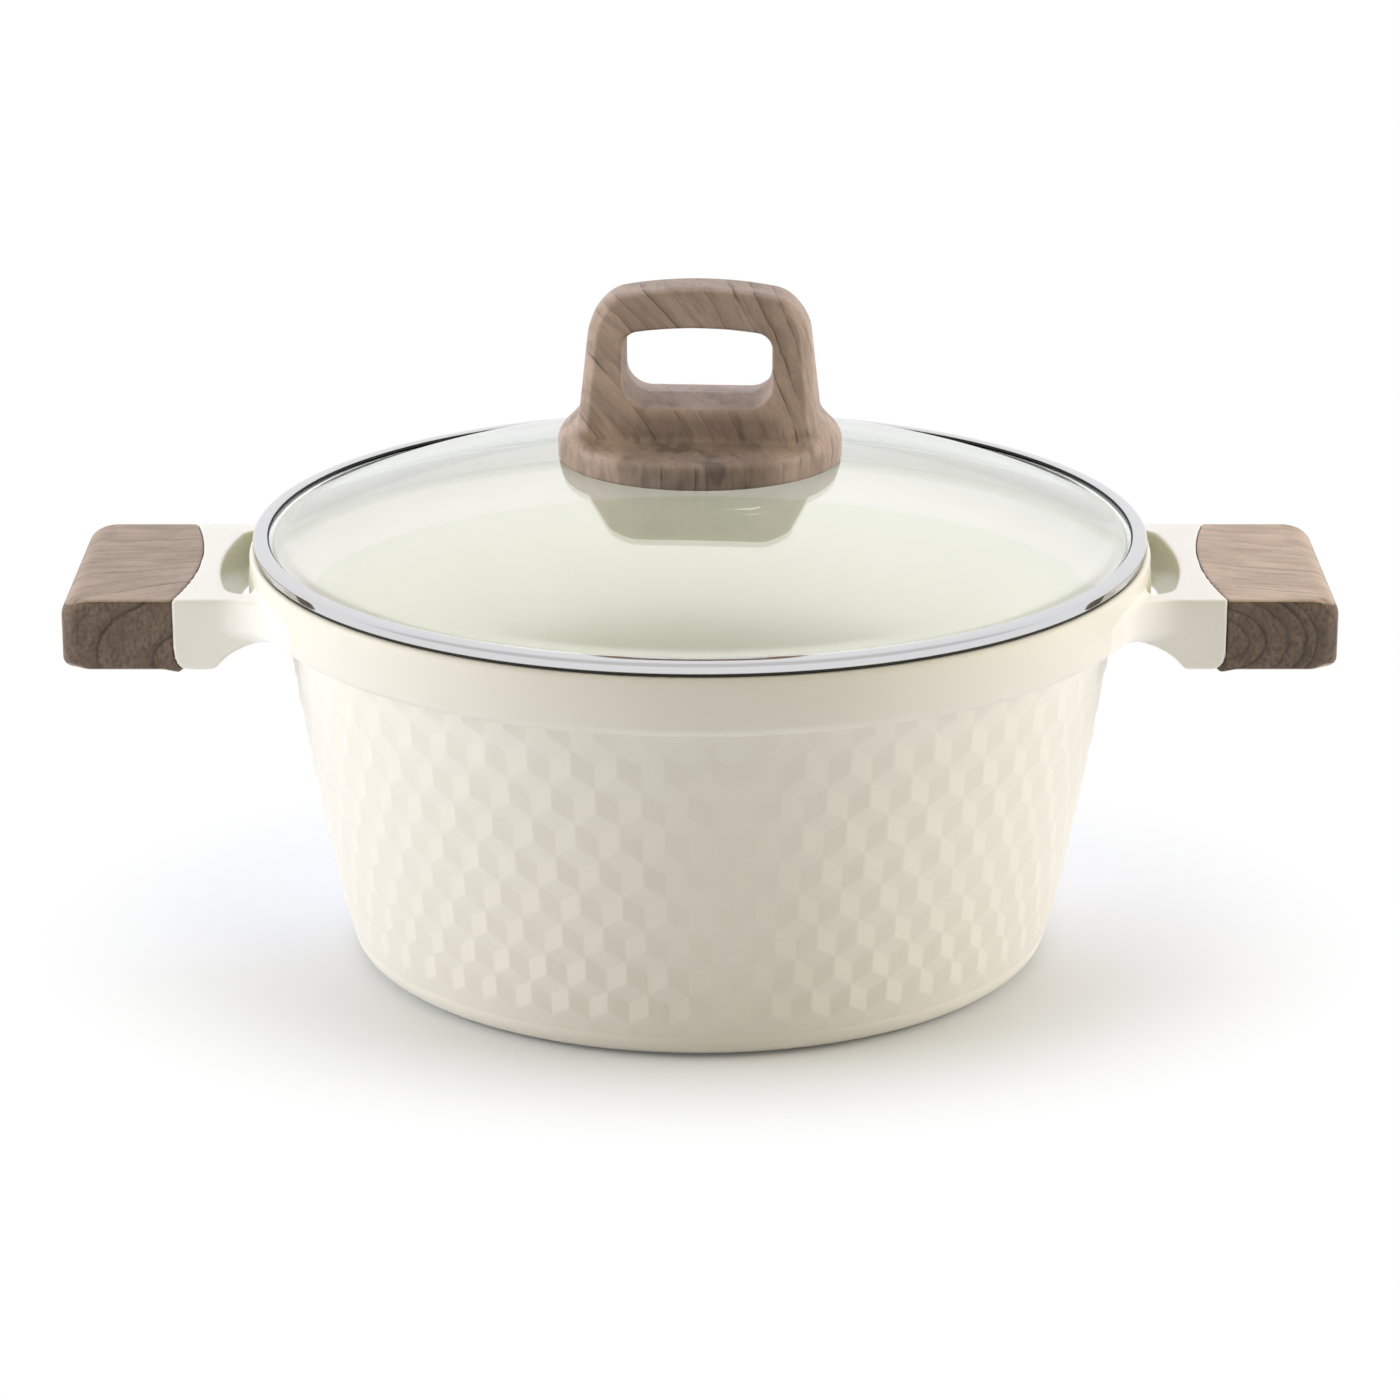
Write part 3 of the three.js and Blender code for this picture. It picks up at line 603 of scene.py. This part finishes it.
def smooth_step(t):
    t = np.clip(t, 0, 1)
    return t * t * (3 - 2 * t)


def neighbour(where, axes, steps):
    """Cells that lie some steps back on two axes."""
    cell = where.copy()
    for axis, step in zip(axes, steps):
        cell[:, axis] -= step
    return cell


def net(field, low, high):
    """Points and quads of a field's zero surface in a box: one point in each cell that it crosses."""
    axes = [np.arange(a, b + NET_STEP, NET_STEP) for a, b in zip(low, high)]
    value = field(*np.meshgrid(*axes, indexing="ij"))
    cells = tuple(n - 1 for n in value.shape)
    total = np.zeros(cells + (3,))
    count = np.zeros(cells)
    crossings = []
    for k in range(3):
        first = value[tuple(slice(None, -1) if i == k else slice(None) for i in range(3))]
        second = value[tuple(slice(1, None) if i == k else slice(None) for i in range(3))]
        where = np.argwhere((first < 0) != (second < 0))
        a = first[tuple(where.T)]
        b = second[tuple(where.T)]
        place = np.stack([axes[i][where[:, i]] for i in range(3)], 1)
        place[:, k] += NET_STEP * a / (a - b)
        others = (k + 1) % 3, (k + 2) % 3
        for steps in ((0, 0), (0, 1), (1, 0), (1, 1)):
            cell = neighbour(where, others, steps)
            good = ((cell >= 0) & (cell < np.array(cells))).all(1)
            np.add.at(total, tuple(cell[good].T), place[good])
            np.add.at(count, tuple(cell[good].T), 1)
        crossings.append((others, where, a < 0))
    number = -np.ones(cells, int)
    used = count > 0
    number[used] = np.arange(used.sum())
    points = total[used] / count[used][:, None]
    faces = []
    for others, where, inside in crossings:
        around = where[:, others]
        good = ((around > 0) & (around < np.array(cells)[list(others)])).all(1)
        where, inside = where[good], inside[good]
        ring = [neighbour(where, others, steps) for steps in ((1, 1), (0, 1), (0, 0), (1, 0))]
        quads = np.stack([number[tuple(cell.T)] for cell in ring], 1)
        quads[~inside] = quads[~inside][:, ::-1]
        faces.append(quads)
    faces = np.concatenate(faces)
    return settle(field, points, faces), faces


def settle(field, points, faces, rounds=4):
    """Evens out a net's points and puts them back on the surface, where the last round leaves them."""
    links = np.concatenate([faces[:, [k, (k + 1) % 4]] for k in range(4)])
    links = np.concatenate([links, links[:, ::-1]])
    degree = np.bincount(links[:, 0], minlength=len(points))[:, None]
    reach = 0.02
    for turn in range(rounds):
        if turn < rounds - 1:
            around = np.zeros_like(points)
            np.add.at(around, links[:, 0], points[links[:, 1]])
            points = 0.5 * points + 0.5 * around / degree
        for _ in range(2):
            here = field(*points.T)
            slope = [(field(*(points + reach * axis).T) - here) / reach for axis in np.eye(3)]
            slope = np.stack(slope, 1)
            pull = here / np.maximum((slope**2).sum(1), 0.05)
            points = points - np.clip(pull, -NET_STEP / 2, NET_STEP / 2)[:, None] * slope
    return points


# ---- Pot ----

def core_radius(z):
    """Radius of the core that carries the relief."""
    return wall_radius(z) - RELIEF - CORE_INSET


def band_sweep(z):
    """Outside of the band at a height, and of the wall's core below it."""
    turn = np.clip((z - BAND_BOTTOM) / BAND_SWEEP, 0, 1)
    inner = WALL_TOP_RADIUS - RELIEF / 2
    sweep = inner + (BAND_RADIUS - inner) * np.sqrt(np.maximum(1 - (1 - turn) ** 2, 0))
    return np.where(z > BAND_BOTTOM, sweep, core_radius(z))


def cavity_profile():
    """Inside of the pot, from the bore of the mouth down to the middle of the floor."""
    corner_top = FLOOR + CAVITY_CORNER
    ledge = POT_TOP - MOUTH_DEPTH
    inside = [(MOUTH_RADIUS, ledge + 1.5), (MOUTH_RADIUS - 1.2, ledge)]
    for z in np.linspace(BAND_BOTTOM - 1, corner_top, 9):
        inside.append((float(wall_radius(z)) - WALL, z))
    edge = float(wall_radius(corner_top)) - WALL - CAVITY_CORNER
    inside += arc((edge, corner_top), CAVITY_CORNER, 0, -90, 8)
    return inside + [(edge * 0.5, FLOOR), (0, FLOOR)]


def outside_profile():
    """Underside round the plate's recess, rounded foot and the core that carries the relief."""
    foot_top = float(wall_radius(FOOT_HEIGHT)) - RELIEF
    rise = RELIEF_START - 1 - UNDERSIDE
    recess = PLATE_RADIUS + GAP
    outside = [(recess, UNDERSIDE + RECESS), (recess, UNDERSIDE + 0.3), (recess + 0.3, UNDERSIDE)]
    for turn in np.linspace(0, math.pi / 2, 9):
        outside.append((FOOT_RADIUS + (foot_top - FOOT_RADIUS) * math.sin(turn),
                        UNDERSIDE + rise * (1 - math.cos(turn))))
    for z in np.linspace(RELIEF_START, BAND_BOTTOM - 0.5, 12):
        outside.append((float(core_radius(z)), z))
    return outside


def build_pot_shell():
    """Foot, core, band and cavity: cream outside, with the pale olive coating inside."""
    heights = BAND_BOTTOM + 0.02 + BAND_SWEEP * np.linspace(0, 1, 9) ** 2
    band = [(float(band_sweep(z)), z) for z in heights]
    outer, inner = 1.6, 0.8
    band += arc((BAND_RADIUS - outer, POT_TOP - outer), outer, 0, 90, 6)
    band += arc((MOUTH_RADIUS + inner, POT_TOP - inner), inner, 90, 180, 4)
    base = [(0, UNDERSIDE + RECESS)]

    def coated_inside(x, y, z):
        reach = MOUTH_RADIUS + 0.3 if z > BAND_BOTTOM + BAND_SWEEP else wall_radius(z) - WALL / 2
        return math.hypot(x, y) < reach and FLOOR - 0.5 < z < POT_TOP - 0.5

    lathe("pot_shell", outside_profile() + band + cavity_profile() + base, 256, "cream_coating", "pot",
          "cast_aluminium", "pot_body", sharp=40, inside=("olive_coating", coated_inside))


def relief_levels():
    """Heights of the relief's corners, half an edge apart."""
    levels = [RELIEF_START]
    while levels[-1] < BAND_BOTTOM + 2:
        edge = 2 * math.pi * float(wall_radius(levels[-1])) / (CELLS * math.sqrt(3))
        levels.append(levels[-1] + edge / 2)
    return levels


def relief_depth(z):
    """Depth from crest to pit: the cut is shallower up the wall."""
    return RELIEF * (1 - 0.27 * smooth_step((z - 16) / 30))


def build_relief():
    """Stacked cubes seen corner-on: flat rhombs whose corners are pits, crests and half-way points."""
    levels = relief_levels()
    columns = 2 * CELLS
    index = {}
    points = []

    def kind(j, m):
        """0 for a pit, 1 for a half-way point and 2 for a crest."""
        return ((3 * (1 - j % 2) - m) // 2) % 3

    def place(r, j, z):
        """Adds a point and gives its number."""
        turn = (j + 0.5) * math.pi / CELLS - math.pi / 2
        points.append((r * math.cos(turn), r * math.sin(turn), z))
        return len(points) - 1

    for m, z in enumerate(levels):
        for j in range(columns):
            if (m + j) % 2:
                radius = float(wall_radius(z)) - (2 - kind(j, m)) * relief_depth(z) / 2
                index[j, m] = place(radius, j, z)
    faces = []
    for (j, m) in list(index):
        left, right = (j - 1) % columns, (j + 1) % columns
        diagonals = (((j, m + 2), (left, m + 1), (right, m + 1)),
                     ((right, m + 1), (j, m + 2), (right, m - 1)),
                     ((left, m + 1), (j, m + 2), (left, m - 1)))
        for end, side_a, side_b in diagonals:
            if end not in index or {kind(j, m), kind(*end)} != {0, 2}:
                continue
            ring = [index[c] for c in ((j, m), side_a, end, side_b) if c in index]
            if len(ring) > 2:
                faces.append(ring)
    border = [index[j, 1 - j % 2] for j in range(columns)]
    top = len(levels) - 1
    crown = [index[j, top - (top + j + 1) % 2] for j in range(columns)]
    foot_radius = float(wall_radius(FOOT_HEIGHT)) - RELIEF
    thickness = 1.5
    foot = [place(foot_radius - 0.05, j, RELIEF_START - 1) for j in range(columns)]
    inner_foot = [place(foot_radius - thickness, j, RELIEF_START - 1) for j in range(columns)]
    inner_top = [place(WALL_TOP_RADIUS - RELIEF - thickness, j, levels[top - 1]) for j in range(columns)]
    for low, high in ((foot, border), (inner_foot, foot), (inner_top, inner_foot), (crown, inner_top)):
        for j in range(columns):
            k = (j + 1) % columns
            faces.append((low[j], low[k], high[k], high[j]))
    made = mesh_object("pot_relief", points, faces, "cream_coating", "pot", "cast_aluminium")
    bevel = made.modifiers.new("soft edges", "BEVEL")
    bevel.width = 0.55 * MM
    bevel.segments = 3
    bevel.limit_method = "ANGLE"
    bevel.angle_limit = math.radians(4)


def slot_field(x, y):
    """The crescent slot between band and handle, in plan: negative in the slot."""
    outer = np.hypot(x - SLOT_CENTRE, y) - SLOT_RADIUS
    crescent = common(BAND_RADIUS - 0.1 - np.hypot(x, y), outer, SLOT_CORNER)
    return common(crescent, np.abs(y) - SLOT_HALF, SLOT_CORNER)


def bracket_field(x, y, z):
    """The part of the +X handle that is cast with the pot: a bar, arched below, that flares into the band."""
    r = np.hypot(x, y)
    plan = joined(np.abs(y) - HANDLE_HALF, r - band_sweep(z), BRACKET_FLARE)
    body = common(common(plan, z - HANDLE_TOP, HANDLE_EDGE), HANDLE_BOTTOM - z, HANDLE_EDGE)
    ramp = (x - ARCH_END) * ARCH_SLOPE[0] + (z - HANDLE_BOTTOM) * ARCH_SLOPE[1]
    body = cut(body, common(z - ARCH_CROWN, ramp, 6), 1.0)
    body = cut(body, slot_field(x, y), 0.9)
    split = common(SPLIT_RADIUS + SEAM - split_distance(x, y, z), HANDLE_BOTTOM - z, 2.5)
    body = common(body, split, 0.2)
    dive = 0.06 + 1.5 * smooth_step((np.abs(y) - 52) / 8)
    body = joined(body, np.maximum(r - band_sweep(z) + dive, z - POT_TOP + 2), 1.6)
    inner = MOUTH_RADIUS - 6.2 + 7.7 * np.clip((z - BAND_BOTTOM) / 8.5, 0, 1)
    below = HANDLE_BOTTOM + 4 - z - 2 * np.maximum(r - BAND_RADIUS + 3, 0)
    return np.maximum.reduce([body, inner - r, np.abs(y) - BRACKET_REACH, below])


def split_distance(x, y, z):
    """Distance from the axis of the split's arc. Low down the grip's lip runs in under the casting."""
    lip = LIP_REACH * np.clip((HANDLE_BOTTOM + 6.5 - z) / 7, 0, 1) ** 2
    return np.hypot(x + lip - SPLIT_X - SPLIT_RADIUS, y)


def grip_field(x, y, z):
    """Plastic grip on the +X side, with the bore and the seat of its screw."""
    inside = SPLIT_RADIUS - SEAM - split_distance(x, y, z)
    lip = LIP_DROP * (1 - smooth_step((inside - 1) / 4))
    low_edge = HANDLE_EDGE + 1.8 * smooth_step((x - HANDLE_END + 10) / 7)
    side_edge = HANDLE_EDGE + 3.8 * smooth_step((x - HANDLE_END + 8) / 6)
    profile = common(x - HANDLE_END, z - HANDLE_TOP, 5.5)
    profile = common(profile, HANDLE_BOTTOM - lip - z, low_edge)
    body = common(profile, np.abs(y) - HANDLE_HALF, side_edge)
    body = common(body, -inside, 0.15)
    away = np.hypot(x - SCREW_REACH, y)
    seat = np.maximum(away - SCREW_HEAD - GAP, z - SCREW_SEAT)
    bore = np.maximum(away - SHANK_BORE, z - SCREW_SEAT - 6)
    return np.maximum(cut(body, seat, 0.35), -bore)


def build_handles():
    """Both handles: the left one is the right one turned half round."""
    points, faces = net(bracket_field, (108, -62, HANDLE_BOTTOM - 1.5), (149, 62, POT_TOP - 1))
    grip_points, grip_faces = net(grip_field, (137, -40, HANDLE_BOTTOM - 2.5), (179, 40, HANDLE_TOP + 1.5))
    depth = slot_field(points[:, 0], points[:, 1])
    for side, turn in (("right", 1), ("left", -1)):
        about = np.array([turn, turn, 1])
        mesh_object(f"{side}_bracket", points * about, faces.tolist(), "bracket_coating", "pot",
                    "cast_aluminium", attribute=("slot_distance", depth))
        mesh_object(f"{side}_grip_shape", grip_points * about, grip_faces.tolist(), "grip_wood", "pot",
                    "grip_plastic", f"{side}_grip")


# ---- Knob ----

def knob_field(x, y, z):
    """Oval flange and chamfered loop in one moulding, with a seat for the gasket and a hole for the screw."""
    u = x * math.cos(KNOB_TURN) + y * math.sin(KNOB_TURN)
    v = y * math.cos(KNOB_TURN) - x * math.sin(KNOB_TURN)
    r = np.hypot(x, y)
    ratio = np.hypot(u / FLANGE[0], v / FLANGE[1])
    side = (ratio - 1) * ratio / np.maximum(np.hypot(u / FLANGE[0] ** 2, v / FLANGE[1] ** 2), 1e-4)
    steep = 0.04 + 0.98 * smooth_step((np.abs(u) - 27.5) / 7.5)
    flange = common(side, z - FLANGE_TOP + steep * side, 1.6)
    half = LOOP_HALF - 0.1 * (z - 155)
    crown = np.hypot(u, z - KNOB_TOP + LOOP_CROWN) - LOOP_CROWN
    outline = common(np.abs(u) - half, crown, 8.8)
    face = np.abs(v) - (LOOP_DEPTH - 0.205 * (z - 159))
    chamfer = 0.74 * outline + 0.67 * face + 2.1 - 1.6 * smooth_step((z - 184) / 7)
    loop = common(common(outline, chamfer, 1.5), face, 0.4)
    draft = LOOP_DEPTH - 0.1 - np.abs(v)
    arched = OPENING_TOP - 1.8 * (u / 20.8) ** 2 - 0.05 * draft
    opening = common(np.abs(u + 0.2) - OPENING_HALF + 0.055 * draft, z - arched, 4)
    opening = common(opening, OPENING_SILL + 0.11 * draft - z, 7.5)
    loop = cut(loop, opening, 0.45 + 0.8 * smooth_step((z - 176) / 3))
    body = common(joined(flange, loop, 1.8), dome_height(r, GAP) - z, 0.5)
    seat = np.maximum(r - GASKET - GAP, z - GASKET_TOP - 0.2)
    hole = np.maximum(r - KNOB_BORE, z - KNOB_BORE_TOP)
    return np.maximum(body, -np.minimum(seat, hole))


def build_knob():
    points, faces = net(knob_field, (-42, -40, 141), (42, 40, 194.5))
    mesh_object("knob_shape", points, faces.tolist(), "knob_wood", "lid", "knob_plastic", "lid_knob")


# ---- Lid ----

def build_glass():
    """Dome of even thickness, with a round flat edge and a hole in the middle."""
    edge = GLASS_EDGE_TOP - GLASS_EDGE_LOW
    inner_edge = math.sqrt((DOME_CURVE - GLASS_THICKNESS) ** 2 - (GLASS_EDGE_LOW - DOME_CENTRE) ** 2)
    outer_radii = np.linspace(GLASS_HOLE + 0.3, DOME_RADIUS - 1.5, 40)
    inner_radii = np.linspace(inner_edge - 1.5, GLASS_HOLE + 0.3, 40)
    profile = [(r, dome_height(r)) for r in outer_radii]
    profile += [(DOME_RADIUS - 0.2, GLASS_EDGE_TOP + 0.25), (DOME_RADIUS + 1.2, GLASS_EDGE_TOP)]
    profile += [(GLASS_RADIUS - edge / 2, GLASS_EDGE_TOP)]
    profile += arc((GLASS_RADIUS - edge / 2, GLASS_EDGE_LOW + edge / 2), edge / 2, 75, -90, 8)
    profile += [(inner_edge + 1.5, GLASS_EDGE_LOW), (inner_edge, GLASS_EDGE_LOW + 0.35)]
    profile += [(r, dome_height(r, -GLASS_THICKNESS)) for r in inner_radii]
    profile += [(GLASS_HOLE, dome_height(GLASS_HOLE, -GLASS_THICKNESS) + 0.3),
                (GLASS_HOLE, dome_height(GLASS_HOLE) - 0.3)]
    lathe("glass_dome", profile, 192, "clear_glass", "lid", "lid_glass", "lid_glass", sharp=35)


def build_rim():
    """Rolled steel: a skirt in the mouth, a flat seat, a bend and a lip that ends over the glass.

    One dark strip lies between the lip and the glass, and one under the glass, on the seat: painted shadow,
    for the shadow line under the lip and the shadow gap between rim and pot.
    """
    bend = 1.2
    crown = 0.22
    middle = RIM_RADIUS - bend
    lip = RIM_RADIUS - 3.9
    lift = RIM_BOTTOM + 0.6
    seat = SKIRT_RADIUS + 1.5
    profile = [(SKIRT_RADIUS, SKIRT_BOTTOM), (SKIRT_RADIUS, RIM_BOTTOM - 0.5)]
    profile += [(SKIRT_RADIUS + 0.5, RIM_BOTTOM), (seat, RIM_BOTTOM)]
    profile += arc((RIM_RADIUS - 0.6, lift + 0.6), 0.6, -80, 0, 5)
    profile += arc((middle, RIM_TOP - crown - bend), bend, 0, 80, 7)
    profile += [(middle + (lip - middle) * t, RIM_TOP - crown * (1 - t) ** 2) for t in (0.25, 0.5, 0.75)]
    profile += arc((lip, RIM_TOP - STEEL / 2), STEEL / 2, 90, 270, 6)
    profile += arc((middle, RIM_TOP - crown - bend), bend - STEEL, 90, 0, 4)
    profile += [(RIM_RADIUS - STEEL, lift + 0.8), (RIM_RADIUS - 0.8, lift + 0.25)]
    profile += [(seat, RIM_BOTTOM + 0.25), (SKIRT_RADIUS, RIM_BOTTOM + 0.25)]
    profile += [(SKIRT_RADIUS - STEEL, RIM_BOTTOM), (SKIRT_RADIUS - STEEL, SKIRT_BOTTOM + 0.1)]
    profile += [(SKIRT_RADIUS - STEEL / 2, SKIRT_BOTTOM - 0.05)]
    lathe("rim_steel_ring", profile, 256, "polished_steel", "lid", "rim_steel", "lid_rim", sharp=35)
    # Painted shadow: black strips where the lid shows only shadow lines.
    low, top = GLASS_EDGE_TOP + 0.02, RIM_TOP - STEEL - 0.05
    outer = RIM_RADIUS - 0.45
    shadow_line_strips = {
        "rim_shadow_strip": [(lip - 0.7, low), (lip + 1.0, low), (lip + 1.0, top - 0.2), (lip + 0.2, top),
                     (lip - 0.4, top - 0.05)],
        "rim_under_shadow_strip": [(seat + 0.3, RIM_BOTTOM - 0.08), (outer - 0.1, RIM_BOTTOM - 0.1),
                           (outer, RIM_BOTTOM), (outer, lift - 0.05), (outer - 0.4, lift - 0.08)]}
    for name, outline in shadow_line_strips.items():
        lathe(name, outline, 192, "black_seal", "lid", "silicone", sharp=60)


def tube(name, node, edge, material_name, slot, bore=SHANK_BORE):
    """A washer, gasket or insert of the lid in the place of a CAD node, with its edges rounded."""
    low, high = corners(node)
    outer = (high[0] - low[0]) / 2
    profile = [(bore, low[2] + edge), (bore + edge, low[2])]
    profile += arc((outer - edge, low[2] + edge), edge, -90, 0, 4)
    profile += arc((outer - edge, high[2] - edge), edge, 0, 90, 4)
    profile += [(bore + edge, high[2]), (bore, high[2] - edge)]
    centre = tuple((low[:2] + high[:2]) / 2)
    lathe(name, profile, 64, material_name, "lid", slot, node, centre=centre, sharp=40)


def screw(name, node, body, head_radius, head_height):
    """Pan-head screw with a hexagon socket, head down."""
    low, high = corners(node)
    centre = (low[:2] + high[:2]) / 2
    seat = low[2] + head_height
    shank, root, pitch = 2.0, 1.62, 0.7
    steps = 48
    socket = head_radius * 0.42
    socket_end = low[2] + head_height * 0.62
    rings = [(0.0, socket_end), (socket, socket_end), (socket, low[2] + 0.12), (socket + 0.15, low[2])]
    for f in (0.75, 0.88, 0.96, 1):
        rings.append((head_radius * f, low[2] + head_height * 0.7 * (1 - math.sqrt(1 - f**3))))
    rings += [(head_radius, seat), (shank, seat)]
    z = seat + 1.2
    while z < high[2] - 1.0:
        rings += [(shank, z), (root, z + pitch / 2)]
        z += pitch
    rings += [(1.5, high[2] - 0.3), (0.0, high[2])]
    points, faces = [], []
    for r, height in rings:
        for i in range(steps):
            turn = i * 2 * math.pi / steps
            reach = r
            if 0 < r <= socket + 0.001:
                face_turn = (turn % (math.pi / 3)) - math.pi / 6
                reach = r * math.cos(math.pi / 6) / math.cos(face_turn)
            points.append((centre[0] + reach * math.cos(turn), centre[1] + reach * math.sin(turn), height))
    for k in range(len(rings) - 1):
        for i in range(steps):
            j = (i + 1) % steps
            faces.append((k * steps + i, k * steps + j, (k + 1) * steps + j, (k + 1) * steps + i))
    mesh_object(name, points, faces, "polished_steel", body, "screw_steel", node, sharp=30)


def build_bush():
    """Flanged silicone bush in the hole of the glass."""
    low, high = corners("glass_bush")
    flange = low[2] + 1.5
    collar, edge = 9.5, 0.4
    profile = [(SHANK_BORE, low[2])] + arc((collar - edge, low[2] + edge), edge, -90, 0, 4)
    profile += arc((collar - edge, flange - edge), edge, 0, 90, 4)
    profile += [(GLASS_HOLE - GAP, flange), (GLASS_HOLE - GAP, high[2]), (SHANK_BORE, high[2])]
    lathe("bush_collar", profile, 64, "soft_silicone", "lid", "silicone", "glass_bush", sharp=40)


def build_plate():
    """Induction plate in the recess of the pot's base, with a bevel at its foot."""
    edge = 0.5
    profile = [(PLATE_RADIUS * f, 0) for f in (0, 0.2, 0.5, 0.8)]
    profile += [(PLATE_RADIUS - edge, 0), (PLATE_RADIUS, edge), (PLATE_RADIUS, PLATE_TOP), (0, PLATE_TOP)]
    lathe("base_disc", profile, 192, "brushed_steel", "pot", "base_steel", "induction_plate", sharp=30)


def build_small_parts():
    tube("gasket_ring", "knob_gasket", 0.5, "soft_silicone", "silicone", bore=6)
    tube("insert_bushing", "knob_insert", 0.3, "turned_brass", "insert_brass")
    tube("washer_disc", "knob_washer", 0.25, "polished_steel", "screw_steel")
    screw("knob_bolt", "knob_screw", "lid", 4.6, 2.4)
    for side in ("left", "right"):
        screw(f"{side}_grip_bolt", f"{side}_grip_screw", "pot", 4, 1.8)
    build_bush()
    build_plate()


# ---- Stage ----

FLOOR_TONE = (0.84, 0.86, 0.91, 1)
WHITE = (1, 1, 1, 1)


def floor_material(n):
    """Matte round the object, where its shadow falls, and farther out plain white but for diffuse rays."""
    path = n("LightPath")
    seen = n.math("MAXIMUM", path.outputs["Is Camera Ray"], path.outputs["Is Glossy Ray"])
    seen = n.math("MAXIMUM", seen, path.outputs["Is Transmission Ray"])
    _, x, y, _ = in_mm(n)
    reach = n("VectorMath", {"operation": "LENGTH"}, i0=n("CombineXYZ", X=x, Y=n.times(y, 1.25)))
    far = n.between(reach.outputs["Value"], 105, 200)
    matte = n("BsdfDiffuse", Color=FLOOR_TONE)
    white = n("Emission", Color=WHITE, Strength=1.0)
    return n("MixShader", i0=n.times(far, seen), i1=matte, i2=white).outputs[0]


def build_stage():
    """A floor that reaches six metres each way."""
    reach = 6.0
    corner_points = [(x * reach, y * reach, 0) for x, y in ((-1, -1), (1, -1), (1, 1), (-1, 1))]
    mesh = bpy.data.meshes.new("floor")
    mesh.from_pydata(corner_points, [], [(0, 1, 2, 3)])
    mesh.materials.append(material("floor_white", floor_material))
    floor = placed("floor", mesh)


FRONT_LIGHT = (0.09, 0.07, 0.0, 1)
BACK_LIGHT = (1.06, 1.07, 0.96, 1)
FRONT_SHINE = (0.75, 0.74, 0.72, 1)


def build_world():
    """White to the camera and through glass. Its light comes from behind, and mirrors see a greyer front."""
    world = bpy.data.worlds.new("studio")
    bpy.context.scene.world = world
    world.use_nodes = True
    world.node_tree.nodes.clear()
    n = Nodes(world.node_tree)
    path = n("LightPath")
    seen = n.math("MAXIMUM", path.outputs["Is Camera Ray"], path.outputs["Is Transmission Ray"])
    direction = n("SeparateXYZ", Vector=n("TexCoord").outputs["Generated"])
    behind = n.between(direction.outputs[1], -0.2, 0.2)
    light = n.mix(behind, FRONT_LIGHT, BACK_LIGHT)
    shine = n.mix(behind, FRONT_SHINE, WHITE)
    light = n.mix(path.outputs["Is Glossy Ray"], light, shine)
    background = n("Background", Color=n.mix(seen, light, WHITE), Strength=1.0)
    n.set(n("OutputWorld"), "Surface", background)


# Soft boxes: name, place, width, height and power, in metres and watts, and colour.
SOFTBOXES = (
    ("left_softbox", (-0.76, -0.2, 0.31), 0.5, 0.5, 3.4, (1, 1, 1)),
    ("right_softbox", (0.75, -0.1, 0.3), 0.5, 0.5, 1.9, (1.0, 0.92, 0.78)),
    ("right_far_softbox", (1.3, -0.1, 0.45), 0.9, 0.9, 3.5, (1, 1, 1)),
    ("front_softbox", (0, -0.9, 1.8), 1.4, 1.0, 4.2, (1.0, 0.88, 0.62)),
    ("back_softbox", (0, 1.7, 1.7), 2.0, 1.2, 15.0, (0.54, 0.57, 1.0)))


def soft_light(name, place, aim, width, height, power):
    """A rectangular lamp that faces a point."""
    data = bpy.data.lights.new(name, "AREA")
    data.shape = "RECTANGLE"
    data.size, data.size_y = width, height
    data.energy = power
    light = placed(name, data)
    light.location = place
    light.rotation_euler = (Vector(aim) - Vector(place)).to_track_quat("-Z", "Y").to_euler()
    return light


def build_lights():
    """Soft boxes that no mirror shows, and a large one behind whose graded sheen only the glass shows."""
    for name, place, width, height, power, tint in SOFTBOXES:
        light = soft_light(name, place, (0, 0, 0.08), width, height, power)
        light.data.color = tint
        light.visible_glossy = False
        light.visible_transmission = False
    sheen = soft_light("sheen_softbox", (0, 1.66, 1.38), (0, 0, 0.13), 4.4, 2.2, 52)
    sheen.visible_diffuse = False
    glass = bpy.data.collections.new("lit_by_sheen")
    glass.objects.link(bpy.data.objects["glass_dome"])
    sheen.light_linking.receiver_collection = glass
    sheen.data.use_nodes = True
    n = Nodes(sheen.data.node_tree)
    n.tree.nodes.clear()
    rise = n("SeparateXYZ", Vector=n("NewGeometry").outputs["Parametric"]).outputs[1]
    grade = n.times(n.between(rise, 0.0, 0.75, 0.1, 1.0), n.between(rise, 1.02, 0.76))
    n.set(n("OutputLight"), "Surface", n("Emission", Strength=grade))


def build_camera():
    """In front, looking down a little at a point on the pot's axis."""
    distance, elevation, aim_height = 1.399, math.radians(18.76), 0.06
    data = bpy.data.cameras.new("camera")
    data.lens = 125.5
    data.sensor_width = 36
    data.shift_y = 0.0243
    camera = placed("camera", data)
    camera.location = (0, -distance * math.cos(elevation), aim_height + distance * math.sin(elevation))
    camera.rotation_euler = (math.pi / 2 - elevation, 0, 0)
    bpy.context.scene.camera = camera


build_pot_shell()
build_relief()
build_handles()
build_knob()
build_glass()
build_rim()
build_small_parts()
build_stage()
build_world()
build_lights()
build_camera()
bpy.context.scene.view_settings.view_transform = "Standard"
